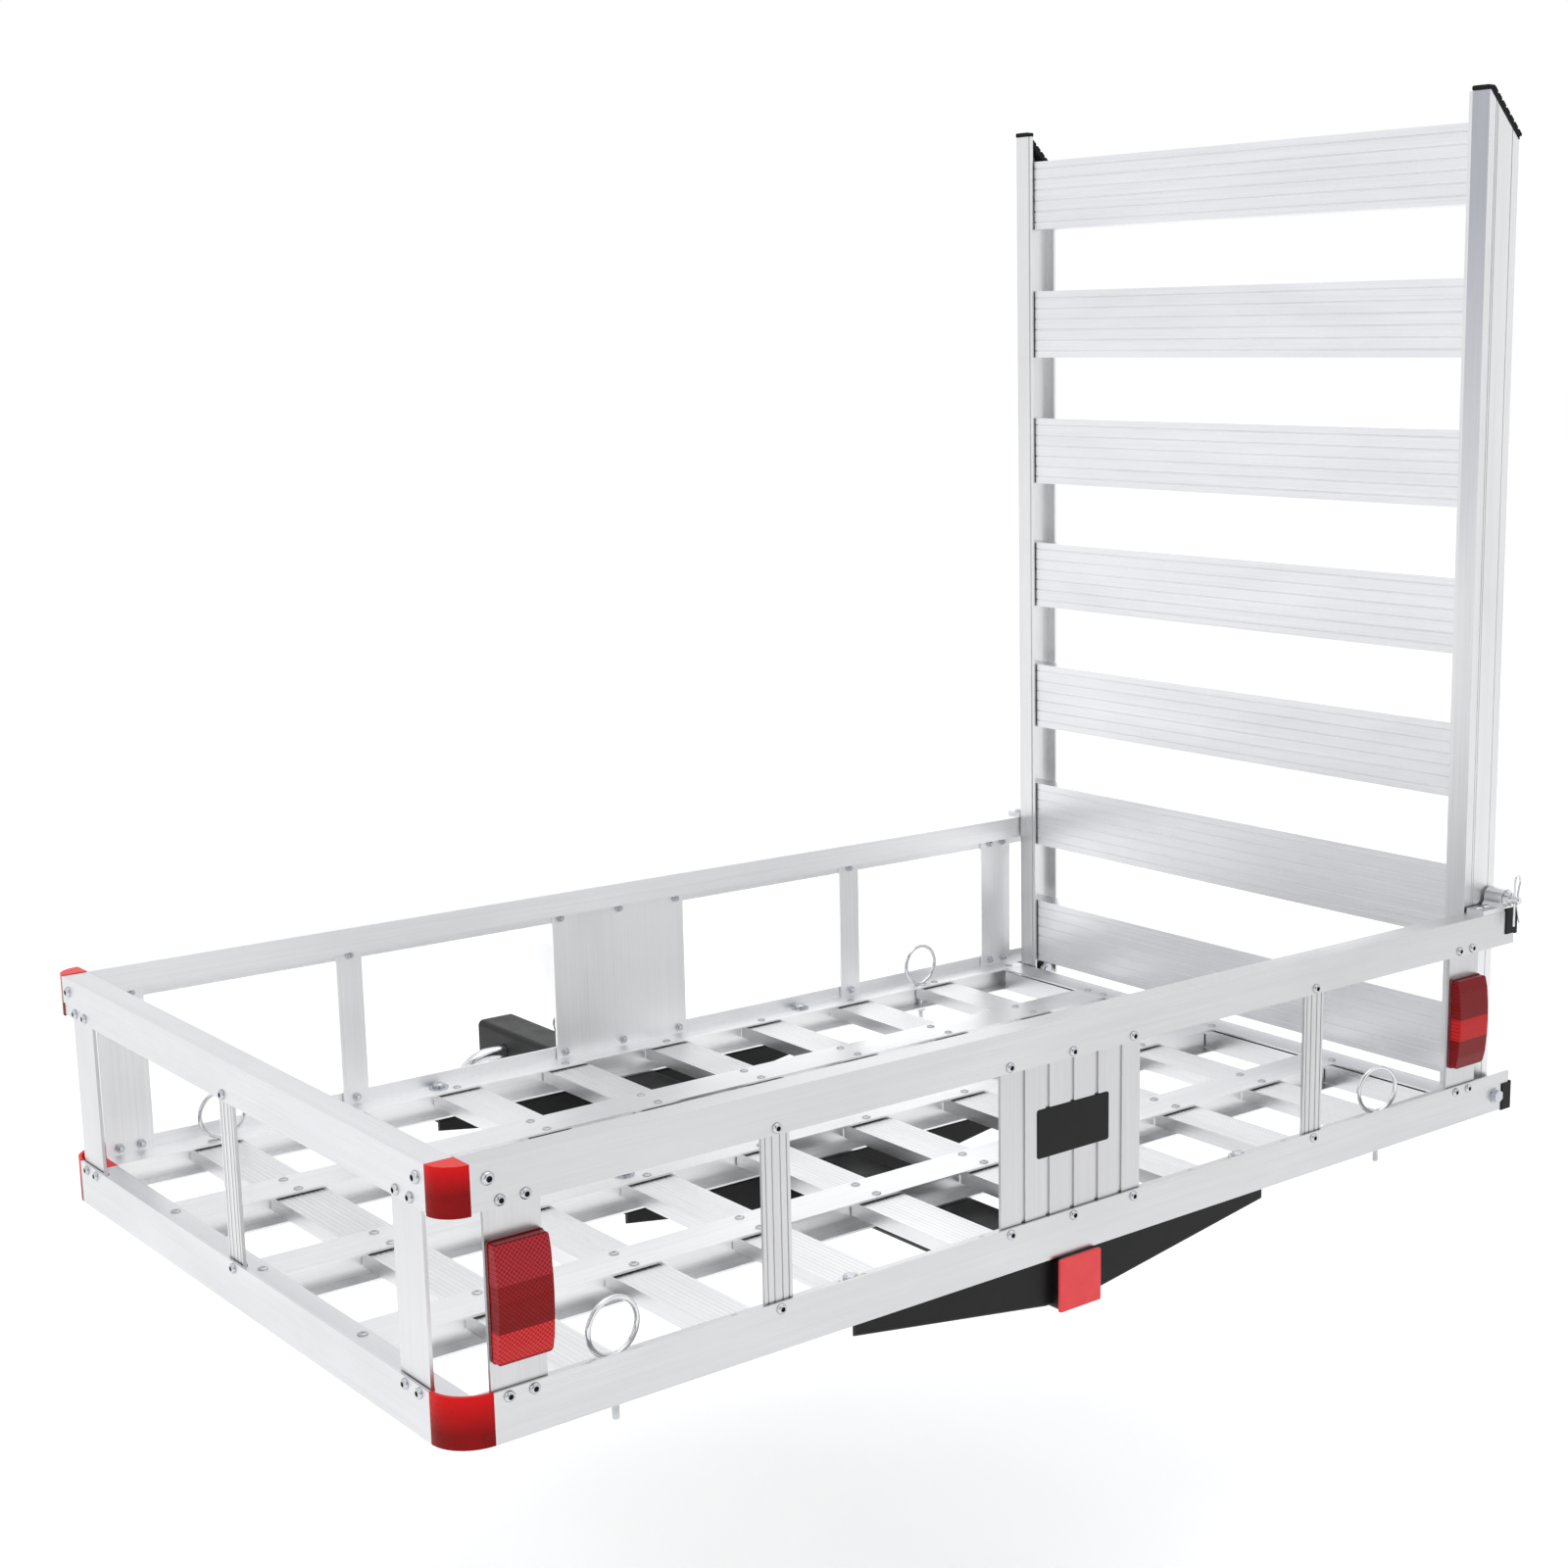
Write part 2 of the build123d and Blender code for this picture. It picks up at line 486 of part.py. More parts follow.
# screws through the lips into the uprights, nuts behind
xs = []
for x in WIDE_X:
    xs += [x - 10.7, x + 10.7]
xs += SLIM_X + [MID_X - 76.0, MID_X - 0.5, MID_X + 75.0]
ys = []
for y in END_POST_Y:
    ys += [y - 11.5, y + 11.5]
ys += [END_SLIM_Y]
screws, nuts = [], []
hole_cut_near, hole_cut_left = [], []
for x in xs:
    for z in (SCREW_ZL, SCREW_ZU):
        face = 0.0 if z < 100 else STEP
        screws.append(button((x, face, z), (0, 1, 0), length=12.5 - face))
        nuts.append(hexa((x, LIP_T + STEP + POST_T, z), (0, 1, 0), 8.0, 3.6) - cyl((x, 0, z), (0, 1, 0), SCREW_R, 14))
        hole_cut_near.append(cyl((x, -1, z), (0, 1, 0), SCREW_R, 8.0))
screws_far = [mirror_y(s) for s in screws]
nuts_far = [mirror_y(s) for s in nuts]
screws_left, nuts_left = [], []
for y in ys:
    for z in (SCREW_ZL, SCREW_ZU):
        face = 0.0 if z < 100 else STEP
        screws_left.append(button((face, y, z), (1, 0, 0), length=12.5 - face))
        nuts_left.append(hexa((LIP_T + STEP + POST_T, y, z), (1, 0, 0), 8.0, 3.6) - cyl((0, y, z), (1, 0, 0), SCREW_R, 14))
        hole_cut_left.append(cyl((-1, y, z), (1, 0, 0), SCREW_R, 8.0))


def bore_all(obj, cuts):
    bb = obj.bounding_box()
    for c in cuts:
        cb = c.bounding_box()
        if (cb.min.X < bb.max.X and cb.max.X > bb.min.X and cb.min.Y < bb.max.Y and cb.max.Y > bb.min.Y
                and cb.min.Z < bb.max.Z and cb.max.Z > bb.min.Z):
            obj = obj - c
    return obj


far_cuts = [mirror_y(c) for c in hole_cut_near]
near = bore_all(near, hole_cut_near)
tnear = bore_all(tnear, hole_cut_near)
far = bore_all(far, far_cuts)
tfar = bore_all(tfar, far_cuts)
left = bore_all(left, hole_cut_left)
tleft = bore_all(tleft, hole_cut_left)
wide_near = [bore_all(p, hole_cut_near) for p in wide_near]
slim_near = [bore_all(p, hole_cut_near) for p in slim_near]
panel_near = bore_all(panel_near, hole_cut_near)
panel_far = bore_all(panel_far, far_cuts)
end_wide = [bore_all(p, hole_cut_left) for p in end_wide]
end_slim = bore_all(end_slim, hole_cut_left)
wide_far = [mirror_y(p) for p in wide_near]
slim_far = [mirror_y(p) for p in slim_near]

# corner bolts into the plugs of the upper caps
cb_cut = [cyl((38.2, -1, 210.8), (0, 1, 0), 3.0, 13), cyl((-1, 38.2, 210.8), (1, 0, 0), 3.0, 13)]
corner_bolts = [button((38.2, 0, 210.8), (0, 1, 0), r=3.0, head=5.4, hh=3.0, length=11),
                button((0, 38.2, 210.8), (1, 0, 0), r=3.0, head=5.4, hh=3.0, length=11)]
cb_far = [mirror_y(c) for c in cb_cut]
corner_bolts += [mirror_y(c) for c in corner_bolts]
tnear = bore_all(tnear, cb_cut)
tleft = bore_all(tleft, cb_cut + cb_far)
tfar = bore_all(tfar, cb_far)
cap_top = bore_all(cap_top, cb_cut)

# ------------------------------------------------------------ end plugs
def sleeve(x0, x1, ya, yb, za, zb, t, lip_z):
    """Black end cap pulled over the tube end; clears the lip."""
    s = box(x0, x1 + 3, ya - t, yb + t * 0.8, za - t, zb + t)
    s = fillet(s.edges().filter_by(Axis.X), 1.0)
    s -= box(x0 - 1, LEN, ya, yb, za, zb)
    if lip_z == "up":
        s -= box(x0 - 1, LEN + 0.2, ya - t - 1, LIP_T + 0.2, zb - 0.01, zb + t + 5)
    else:
        s -= box(x0 - 1, LEN + 0.2, ya - t - 1, LIP_T + STEP + 0.2, za - t - 5, za + 0.01)
    return s


plug_low = sleeve(1258.0, LEN, 0, LOW_BOX, 0, LOW_H, 1.4, "up")
plug_top = sleeve(1254.0, LEN, 0, TOP_D, TOP_BOX0, TOP_Z1, 1.4, "down")

# ------------------------------------------------------------ reflectors
def reflector(xc):
    y1 = LIP_T + STEP
    # moulded dark base, then a domed lens
    base = box(xc - 23.9, xc + 23.9, y1 - 4.0, y1, 64.5, 162.5)
    base = fillet(base.edges().filter_by(Axis.Y), 4.0)
    # base plate lies on the face of the upright, between the lips
    prof = [(-4.0, 65.6), (-11.2, 65.6), (-14.4, 78.0), (-16.2, 97.0), (-16.8, 113.5), (-16.2, 130.0),
            (-14.4, 149.0), (-11.2, 161.4), (-4.0, 161.4)]
    lens = prism_x([(y1 + a, b) for a, b in prof], xc - 23.3, xc + 23.3)
    corners = [e for e in lens.edges() if abs(e.center().Y - (y1 - 7.6)) < 0.2 and e.bounding_box().size.Y > 6
               and e.bounding_box().size.Z < 0.1]
    lens = fillet(corners, 3.0)
    return base, lens


refl = [reflector(x) for x in WIDE_X]

# ------------------------------------------------------------ tie-down eyes
def eye(x, y, turn):
    """Round wire eye on a threaded stud through the deck flange."""
    ring = Solid.make_torus(EYE_RING_R, EYE_WIRE_R, Plane(origin=(0, 0, 0), z_dir=(0, 1, 0)))
    ring = Pos(x, y, EYE_Z) * (Rot(0, 0, turn) * ring)
    stud = cyl((x, y, -23.0), (0, 0, 1), EYE_STUD_R, 23.0 + EYE_Z - EYE_RING_R + 0.6)
    return ring + stud


eyes = [eye(*e) for e in EYES]
eye_nuts = []
for ex, ey, _ in EYES:
    eye_nuts.append(hexa((ex, ey, -5.2), (0, 0, 1), 10.0, 5.2) - cyl((ex, ey, -8), (0, 0, 1), EYE_STUD_R, 10))

# ------------------------------------------------------------ ramp
RY0, RY1 = RAMP_Y0, RAMP_Y0 + RAMP_T


def ramp_rail():
    x0, x1 = RAMP_X0, RAMP_X1
    prof = [(x0, RY0), (x1, RY0), (x1, RY0 + RAMP_BACK), (x1 - RAMP_T, RY0 + RAMP_BACK), (x1 - RAMP_T, RY1),
            (x0 + RAMP_T, RY1), (x0 + RAMP_T, RY0 + RAMP_FL), (x0, RY0 + RAMP_FL)]
    r = prism_z(prof, RAMP_Z0, RAMP_Z1)
    # slanted top: from the front edge down to the back edge
    r -= prism_y([(x0 + 2, RAMP_Z1), (x0 + 2, RAMP_Z1 + 5), (x1 + 10, RAMP_Z1 + 5),
                  (x1 + 10, RAMP_Z1 - (x1 + 10 - x0 - 2) * FOOT_SLOPE)], RY0 - 1, RY0 + 40)
    # inner strip of the front flange is set back, with a fine step
    r -= box(x0 - 1, x0 + 1.0, RY0 + RAMP_FL - RAMP_STRIP, RY0 + RAMP_FL + 1, RAMP_Z0 - 1, RAMP_Z1 + 1)
    # two fine drawn lines on the outer face
    for fx in (11.0, 14.0, 39.0):
        r -= box(x0 + fx - 0.5, x0 + fx + 0.5, RY0 - 1, RY0 + 0.5, RAMP_Z0 - 1, RAMP_Z1 + 1)
    # pivot hole
    r -= cyl((PIV_X, RY0 - 1, PIV_Z), (0, 1, 0), BOLT_R + 3.0, 6)
    return r


def ramp_foot():
    """Rubber shoe: a bar over the front flange and a ribbed band down the slanted edge."""
    x0, x1 = RAMP_X0, RAMP_X1
    ax, az = x0 + 2.0, RAMP_Z1
    bz = RAMP_Z1 - (x1 - ax) * FOOT_SLOPE
    n = math.hypot(x1 - ax, bz - az)
    ux, uz = (x1 - ax) / n, (bz - az) / n
    px, pz = -uz, ux            # outward normal of the slanted face
    ribs, deep, low = 7, 7.0, 5.0
    outer = []
    for i in range(ribs):
        sa, sb = n * i / ribs, n * (i + 1) / ribs
        q = (sb - sa) * 0.16
        for s, hh in ((sa, low), (sa + q, deep), (sb - q, deep), (sb, low)):
            if outer and s == sa:
                continue
            outer.append((ax + ux * s + px * hh, az + uz * s + pz * hh))
    band = prism_y([(ax, az), (ax + px * low, az + pz * low)] + outer[1:] + [(x1 + 0.2, bz + 7.0), (x1 + 0.2, bz)],
                   RY0 - 0.6, RY0 + RAMP_BACK)
    bar = box(x0 - 0.6, x0 + 8.0, RY0 - 0.6, RY0 + 22.5, az, az + 5.0)
    bar = fillet(bar.edges().filter_by(Axis.X), 2.0)
    bar -= band
    # plug leg inside the channel, behind the top tread
    xa, xb = x0 + TREAD_D + RAMP_T + 3.0, x1 - RAMP_T - 1
    za, zb = az - (xa - ax) * FOOT_SLOPE, az - (xb - ax) * FOOT_SLOPE
    leg_up = prism_y([(xa, za), (xb, zb), (xb, zb - 14), (xa, zb - 14)], RY1, RY1 + 4)
    return band + bar, leg_up


foot, leg = ramp_foot()
foot = foot + leg
rail_n = ramp_rail()


def tread(z0):
    """Ribbed box plank; the ribs run across the ramp."""
    x0, x1 = RAMP_X0 + RAMP_T + 1.3, RAMP_X0 + RAMP_T + 1.3 + TREAD_D
    z1 = z0 + TREAD_H
    n = 6
    pitch = (TREAD_H - 4) / n
    pts = [(x1, z0), (x1, z1), (x0, z1)]
    z = z1 - 2 - pitch / 2
    for _ in range(n):
        pts += [(x0, z + 0.8), (x0 + 0.6, z + 0.3), (x0 + 0.6, z - 0.3), (x0, z - 0.8)]
        z -= pitch
    pts += [(x0, z0)]
    t = prism_y(pts, RY1, WID - RY1)
    t -= box(x0 + 3, x1 - 2, RY1 - 1, WID - RY1 + 1, z0 + 2, z1 - 2)
    return t


treads = [tread(TREAD_Z0 + i * TREAD_PITCH) for i in range(TREAD_N)]


def lean(obj):
    """Turn a ramp piece about the hinge line to its folded rest angle."""
    return Pos(PIV_X, 0, PIV_Z) * (Rot(0, -RAMP_LEAN, 0) * (Pos(-PIV_X, 0, -PIV_Z) * obj))


foot = lean(foot)
rail_n = lean(rail_n)
rail_n = rail_n - cyl((LATCH_X, RY0 - 1, LATCH_Z), (0, 1, 0), LPIN_R + 0.3, 6)
treads = [lean(t) for t in treads]

# pivot bolts, washers, nuts and the bushes turning on them
def pivot():
    hx = hexa((PIV_X, -5.8, PIV_Z), (0, 1, 0), 12.5, 4.2)
    ws = cyl((PIV_X, -1.6, PIV_Z), (0, 1, 0), 8.6, 1.6)
    sh = cyl((PIV_X, -1.6, PIV_Z), (0, 1, 0), BOLT_R, 46.0)
    sp = cyl((PIV_X, LOW_BOX, PIV_Z), (0, 1, 0), 8.5, RAMP_Y0 - 0.4 - LOW_BOX) - cyl(
        (PIV_X, 0, PIV_Z), (0, 1, 0), BOLT_R, 60)
    nut = hexa((PIV_X, RY1 + 6.4, PIV_Z), (0, 1, 0), 15.0, 7.0) - cyl((PIV_X, 0, PIV_Z), (0, 1, 0), BOLT_R, 60)
    bush = cyl((PIV_X, RAMP_Y0, PIV_Z), (0, 1, 0), BOLT_R + 3.0, RAMP_T) + cyl(
        (PIV_X, RY1, PIV_Z), (0, 1, 0), 10.0, 5.8)
    bush -= cyl((PIV_X, 0, PIV_Z), (0, 1, 0), BOLT_R + 0.06, 60)
    return hx + ws + sh, sp, nut, bush


pv_bolt, pv_spacer, pv_nut, pv_bush = pivot()
pv_cut = cyl((PIV_X, -5, PIV_Z), (0, 1, 0), BOLT_R + 0.05, 60)
near = near - pv_cut
far = far - mirror_y(pv_cut)

# ------------------------------------------------------------ latch
LB0, LB1 = 0.6, TOP_D - 0.6


def latch_bracket():
    """Extruded keeper: flat foot on the rail, round barrel for the pin."""
    foot_ = [(1216.0, TOP_Z1), (1252.0, TOP_Z1), (1252.0, TOP_Z1 + 2.2), (1266.5, TOP_Z1 + 2.2),
             (1266.5, LATCH_Z), (1245.5, LATCH_Z), (1245.5, TOP_Z1 + 9), (1241.5, TOP_Z1 + 5),
             (1216.0, TOP_Z1 + 5)]
    b = prism_y(foot_, LB0, LB1) + cyl((LATCH_X, LB0, LATCH_Z), (0, 1, 0), 10.5, LB1 - LB0)
    b -= cyl((LATCH_X, LB0 - 1, LATCH_Z), (0, 1, 0), LPIN_R + 0.08, LB1 + 2)
    for sx in (1222.5, 1234.5):
        b -= cyl((sx, TOP_D / 2, TOP_Z1 - 1), (0, 0, 1), SCREW_R, 10)
    return b


bracket = latch_bracket()
lscrews = []
ls_cut = []
for sx in (1222.5, 1234.5):
    lscrews.append(button((sx, TOP_D / 2, TOP_Z1 + 5), (0, 0, -1), head=4.3, hh=2.2, length=12))
    ls_cut.append(cyl((sx, TOP_D / 2, TOP_Z1 - 8), (0, 0, 1), SCREW_R, 10))
tnear = bore_all(tnear, ls_cut)
tfar = bore_all(tfar, [mirror_y(c) for c in ls_cut])

LP_Y0, LP_Y1 = -17.0, RAMP_Y0 - 0.4
CLIP_Y = -9.4
lpin = cyl((LATCH_X, LP_Y0, LATCH_Z), (0, 1, 0), LPIN_R, LP_Y1 - LP_Y0)
lpin = chamfer(lpin.edges().filter_by(GeomType.CIRCLE), 0.9)
lpin -= cyl((LATCH_X, CLIP_Y, LATCH_Z - 10), (0, 0, 1), WIRE_R + 0.25, 20)
lwasher = cyl((LATCH_X, -4.8, LATCH_Z), (0, 1, 0), 7.2, 3.4) + cyl((LATCH_X, -1.4, LATCH_Z), (0, 1, 0), 9.0, 1.6)
lwasher -= cyl((LATCH_X, -10, LATCH_Z), (0, 1, 0), LPIN_R, 20)
lclip = r_clip(LATCH_X, CLIP_Y, LATCH_Z, LPIN_R, WIRE_R, 21.0, 29.0, 4.6)

# ------------------------------------------------------------ name the parts
put("lower_rail_near", near)
put("lower_rail_far", far)
put("lower_rail_left", left)
put("deck_rail_near", mid_rails[0])
put("deck_rail_mid", mid_rails[1])
put("deck_rail_far", mid_rails[2])
put("deck_end_rail", er)
for k, row in enumerate(slat_rows):
    put("deck_slats_row_%d" % (k + 1), row)
put("deck_rivets", rivet_solids)
put("top_rail_near", tnear)
put("top_rail_far", tfar)
put("top_rail_left", tleft)
put("corner_cap_top_near", cap_top)
put("corner_cap_top_far", mirror_y(cap_top))
put("corner_cap_low_near", cap_low)
put("corner_cap_low_far", mirror_y(cap_low))
put("corner_bolts", corner_bolts)
put("posts_wide_near", wide_near)
put("posts_slim_near", slim_near)
put("posts_wide_far", wide_far)
put("posts_slim_far", slim_far)
put("end_posts_wide", end_wide)
put("end_post_slim", end_slim)
put("panel_near", panel_near)
put("panel_label", label)
put("panel_far", panel_far)
put("panel_gussets", gussets)
put("side_screws", screws + screws_far + screws_left)
put("side_nuts", nuts + nuts_far + nuts_left)
put("end_plugs", [plug_low, mirror_y(plug_low), plug_top, mirror_y(plug_top)])
put("reflector_bases", [r[0] for r in refl])
put("reflector_lenses", [r[1] for r in refl])
put("tie_down_eyes", eyes)
put("tie_down_nuts", eye_nuts)
put("cross_beam_near", beams[0])
put("cross_beam_mid", beams[1])
put("cross_beam_far", beams[2])
put("beam_bolts", bolts)
put("beam_nuts", bolt_nuts)
put("hitch_shank", tube)
put("shank_plug", cap)
put("hitch_pin", pin)
put("hitch_pin_clip", hitch_clip)
put("ramp_rail_near", rail_n)
put("ramp_rail_far", mirror_y(rail_n))
put("ramp_treads", treads)
put("ramp_feet", [foot, mirror_y(foot)])
put("ramp_bushes", [pv_bush, mirror_y(pv_bush)])
put("pivot_bolts", [pv_bolt, mirror_y(pv_bolt)])
put("pivot_spacers", [pv_spacer, mirror_y(pv_spacer)])
put("pivot_nuts", [pv_nut, mirror_y(pv_nut)])
put("latch_brackets", [bracket, mirror_y(bracket)])
put("latch_screws", lscrews + [mirror_y(s) for s in lscrews])
put("latch_pin_near", [lpin + lwasher])
put("latch_pin_far", [mirror_y(lpin + lwasher)])
put("latch_clip_near", lclip)
put("latch_clip_far", mirror_y(lclip))

shift = Location((-OX, -OY, -OZ))
for name, shape in NODES.items():
    export_step(shape.moved(shift), "parts/%s.step" % name)
    bb = shape.moved(shift).bounding_box()
    print("%-22s solids %3d  x %8.1f..%8.1f  y %8.1f..%8.1f  z %8.1f..%8.1f" % (
        name, len(shape.solids()), bb.min.X, bb.max.X, bb.min.Y, bb.max.Y, bb.min.Z, bb.max.Z))
print("parts", len(NODES))
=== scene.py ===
import bpy, bmesh, math
from mathutils import Vector, Matrix


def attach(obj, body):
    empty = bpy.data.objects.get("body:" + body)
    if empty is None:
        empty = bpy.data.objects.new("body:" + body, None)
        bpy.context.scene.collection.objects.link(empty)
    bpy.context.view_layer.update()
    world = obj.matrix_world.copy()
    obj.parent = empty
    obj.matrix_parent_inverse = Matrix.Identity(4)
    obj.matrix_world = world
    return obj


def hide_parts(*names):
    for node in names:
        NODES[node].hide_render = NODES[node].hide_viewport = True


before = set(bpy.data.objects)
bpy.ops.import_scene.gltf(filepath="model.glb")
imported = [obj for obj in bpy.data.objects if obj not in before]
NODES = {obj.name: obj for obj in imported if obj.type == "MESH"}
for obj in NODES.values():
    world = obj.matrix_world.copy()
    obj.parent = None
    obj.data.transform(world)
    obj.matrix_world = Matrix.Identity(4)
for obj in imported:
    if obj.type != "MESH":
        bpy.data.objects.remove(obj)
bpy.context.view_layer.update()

scene = bpy.context.scene

# carrier drawing frame (mm) to the row frame (m)
OX, OY, OZ = 626.0, 1010.0, -25.9
WID = 778.0


def M(x, y, z):
    return Vector(((x - OX) / 1000.0, (y - OY) / 1000.0, (z - OZ) / 1000.0))


# ------------------------------------------------------------------ materials
def new_mat(name):
    m = bpy.data.materials.new(name)
    m.use_nodes = True
    nt = m.node_tree
    nt.nodes.clear()
    out = nt.nodes.new("ShaderNodeOutputMaterial")
    bs = nt.nodes.new("ShaderNodeBsdfPrincipled")
    nt.links.new(bs.outputs[0], out.inputs["Surface"])
    return m, nt, bs


def N(nt, kind, **kw):
    n = nt.nodes.new(kind)
    for k, v in kw.items():
        setattr(n, k, v)
    return n


def coords(nt, scale, loc=(0, 0, 0)):
    tc = N(nt, "ShaderNodeTexCoord")
    mp = N(nt, "ShaderNodeMapping")
    mp.inputs["Scale"].default_value = scale
    mp.inputs["Location"].default_value = loc
    nt.links.new(tc.outputs["Object"], mp.inputs["Vector"])
    return mp.outputs["Vector"]


def noise(nt, vec, scale=1.0, detail=3.0, rough=0.55, dist=0.0):
    n = N(nt, "ShaderNodeTexNoise")
    n.inputs["Scale"].default_value = scale
    n.inputs["Detail"].default_value = detail
    n.inputs["Roughness"].default_value = rough
    n.inputs["Distortion"].default_value = dist
    nt.links.new(vec, n.inputs["Vector"])
    return n.outputs["Fac"]


def ramp(nt, fac, stops):
    r = N(nt, "ShaderNodeValToRGB")
    els = r.color_ramp.elements
    while len(els) > 1:
        els.remove(els[-1])
    els[0].position = stops[0][0]
    els[0].color = stops[0][1]
    for p, c in stops[1:]:
        e = els.new(p)
        e.color = c
    nt.links.new(fac, r.inputs[0])
    return r.outputs[0]


def g(v):
    return (v, v, v, 1.0)


def mrange(nt, fac, a, b, lo=0.0, hi=1.0):
    m = N(nt, "ShaderNodeMapRange")
    m.inputs["From Min"].default_value = lo
    m.inputs["From Max"].default_value = hi
    m.inputs["To Min"].default_value = a
    m.inputs["To Max"].default_value = b
    nt.links.new(fac, m.inputs["Value"])
    return m.outputs[0]


def math_node(nt, op, a, b=None):
    m = N(nt, "ShaderNodeMath", operation=op)
    for i, v in enumerate((a, b)):
        if v is None:
            continue
        if isinstance(v, (int, float)):
            m.inputs[i].default_value = v
        else:
            nt.links.new(v, m.inputs[i])
    return m.outputs[0]


def mix_rgb(nt, fac, a, b, blend="MIX"):
    m = N(nt, "ShaderNodeMix", data_type="RGBA", blend_type=blend)
    for sock, v in ((m.inputs[0], fac), (m.inputs[6], a), (m.inputs[7], b)):
        if isinstance(v, (int, float, tuple)):
            sock.default_value = v
        else:
            nt.links.new(v, sock)
    return m.outputs[2]


def bump(nt, height, strength, dist, prev=None):
    b = N(nt, "ShaderNodeBump")
    b.inputs["Strength"].default_value = strength
    b.inputs["Distance"].default_value = dist
    nt.links.new(height, b.inputs["Height"])
    if prev is not None:
        nt.links.new(prev, b.inputs["Normal"])
    return b.outputs[0]


def extruded(name, axis, base=0.80, tint=(0.985, 0.99, 1.0), rough=0.30, lines=0.5, seed=0.0, mids=0.35, metal=1.0, flange_painted_reflection=0.0):
    """Mill finish aluminium: draw lines run along the extrusion axis (0, 1 or 2)."""
    m, nt, bs = new_mat(name)
    fine = [1500.0, 1500.0, 1500.0]; fine[axis] = 5.0
    mid = [150.0, 150.0, 150.0]; mid[axis] = 0.8
    blot = [11.0, 11.0, 11.0]; blot[axis] = 3.0
    vf = coords(nt, fine, (seed, seed * 2, seed))
    vm = coords(nt, mid, (seed * 3, seed, seed))
    vb = coords(nt, blot, (seed, seed, seed * 4))
    nf = noise(nt, vf, 1.0, 2.0, 0.5)
    nm = noise(nt, vm, 1.0, 2.0, 0.6)
    nb = noise(nt, vb, 1.0, 4.0, 0.6, 0.4)
    vs = coords(nt, (700, 700, 700), (seed, 1, 2))
    ns = noise(nt, vs, 1.0, 2.0, 0.5)
    mixed = math_node(nt, "ADD", math_node(nt, "MULTIPLY", nf, 1.0 - mids), math_node(nt, "MULTIPLY", nm, mids))
    c0 = tuple(base * 0.93 * t for t in tint) + (1,)
    c1 = tuple(base * t for t in tint) + (1,)
    c2 = tuple(min(1.0, base * 1.05) * t for t in tint) + (1,)
    col = ramp(nt, mixed, [(0.30, c0), (0.50, c1), (0.70, c2)])
    shade = ramp(nt, nb, [(0.30, g(0.93)), (0.62, g(1.0))])
    col = mix_rgb(nt, 1.0, col, shade, "MULTIPLY")
    if flange_painted_reflection:
        # painted reflection: the broad front flange is darkened and tinted bluish, more so higher up; its inner strip
        # stays bright
        tcn = N(nt, "ShaderNodeTexCoord")
        sn = N(nt, "ShaderNodeSeparateXYZ")
        nt.links.new(tcn.outputs["Normal"], sn.inputs[0])
        so = N(nt, "ShaderNodeSeparateXYZ")
        nt.links.new(tcn.outputs["Object"], so.inputs[0])
        facing = math_node(nt, "LESS_THAN", sn.outputs[0], -0.6)
        outer = math_node(nt, "LESS_THAN", so.outputs[1], float(M(0, 48.2, 0).y))
        high = mrange(nt, so.outputs[2], 0.12, 1.0, float(M(0, 0, 560.0).z), float(M(0, 0, 980.0).z))
        fac = math_node(nt, "MULTIPLY", math_node(nt, "MULTIPLY", facing, outer), high)
        k = 1.0 - flange_painted_reflection
        col = mix_rgb(nt, fac, col, mix_rgb(nt, 1.0, col, (k, k * 1.01, k * 1.10, 1.0), "MULTIPLY"))
    nt.links.new(col, bs.inputs["Base Color"])
    bs.inputs["Metallic"].default_value = metal
    r = math_node(nt, "ADD", mrange(nt, mixed, rough - 0.05, rough + 0.06, 0.25, 0.75),
                  mrange(nt, nb, 0.05, -0.03, 0.3, 0.7))
    nt.links.new(r, bs.inputs["Roughness"])
    n1 = bump(nt, nf, 0.10 * lines, 0.0003)
    n2 = bump(nt, nm, 0.06 * lines, 0.0008, n1)
    n3 = bump(nt, ns, 0.03, 0.0002, n2)
    nt.links.new(n3, bs.inputs["Normal"])
    bs.inputs["Anisotropic"].default_value = 0.3
    return m


def zinc(name, base=(0.72, 0.74, 0.78), rough=0.25):
    m, nt, bs = new_mat(name)
    v = coords(nt, (260, 260, 260))
    n1 = noise(nt, v, 1.0, 4.0, 0.6)
    v2 = coords(nt, (60, 60, 60))
    n2 = noise(nt, v2, 1.0, 3.0, 0.6)
    c = ramp(nt, n2, [(0.3, tuple(b * 0.86 for b in base) + (1,)), (0.55, base + (1,)),
                      (0.75, (min(1, base[0] * 1.1), min(1, base[1] * 1.06), min(1, base[2] * 1.0), 1))])
    nt.links.new(c, bs.inputs["Base Color"])
    bs.inputs["Metallic"].default_value = 1.0
    nt.links.new(mrange(nt, n1, rough - 0.08, rough + 0.12, 0.3, 0.7), bs.inputs["Roughness"])
    nt.links.new(bump(nt, n1, 0.06, 0.0003), bs.inputs["Normal"])
    return m


def coated(name, base=0.012):
    m, nt, bs = new_mat(name)
    v = coords(nt, (1, 1, 1))
    n1 = noise(nt, v, 620.0, 3.0, 0.55)
    n2 = noise(nt, v, 30.0, 4.0, 0.6)
    c = ramp(nt, n2, [(0.3, (base * 0.8, base * 0.8, base * 0.85, 1)), (0.7, (base * 1.7, base * 1.7, base * 1.8, 1))])
    nt.links.new(c, bs.inputs["Base Color"])
    bs.inputs["Specular IOR Level"].default_value = 0.18
    bs.inputs["Coat Weight"].default_value = 0.06
    bs.inputs["Coat Roughness"].default_value = 0.25
    nt.links.new(mrange(nt, n2, 0.34, 0.48, 0.3, 0.7), bs.inputs["Roughness"])
    nt.links.new(bump(nt, n1, 0.22, 0.0005), bs.inputs["Normal"])
    return m


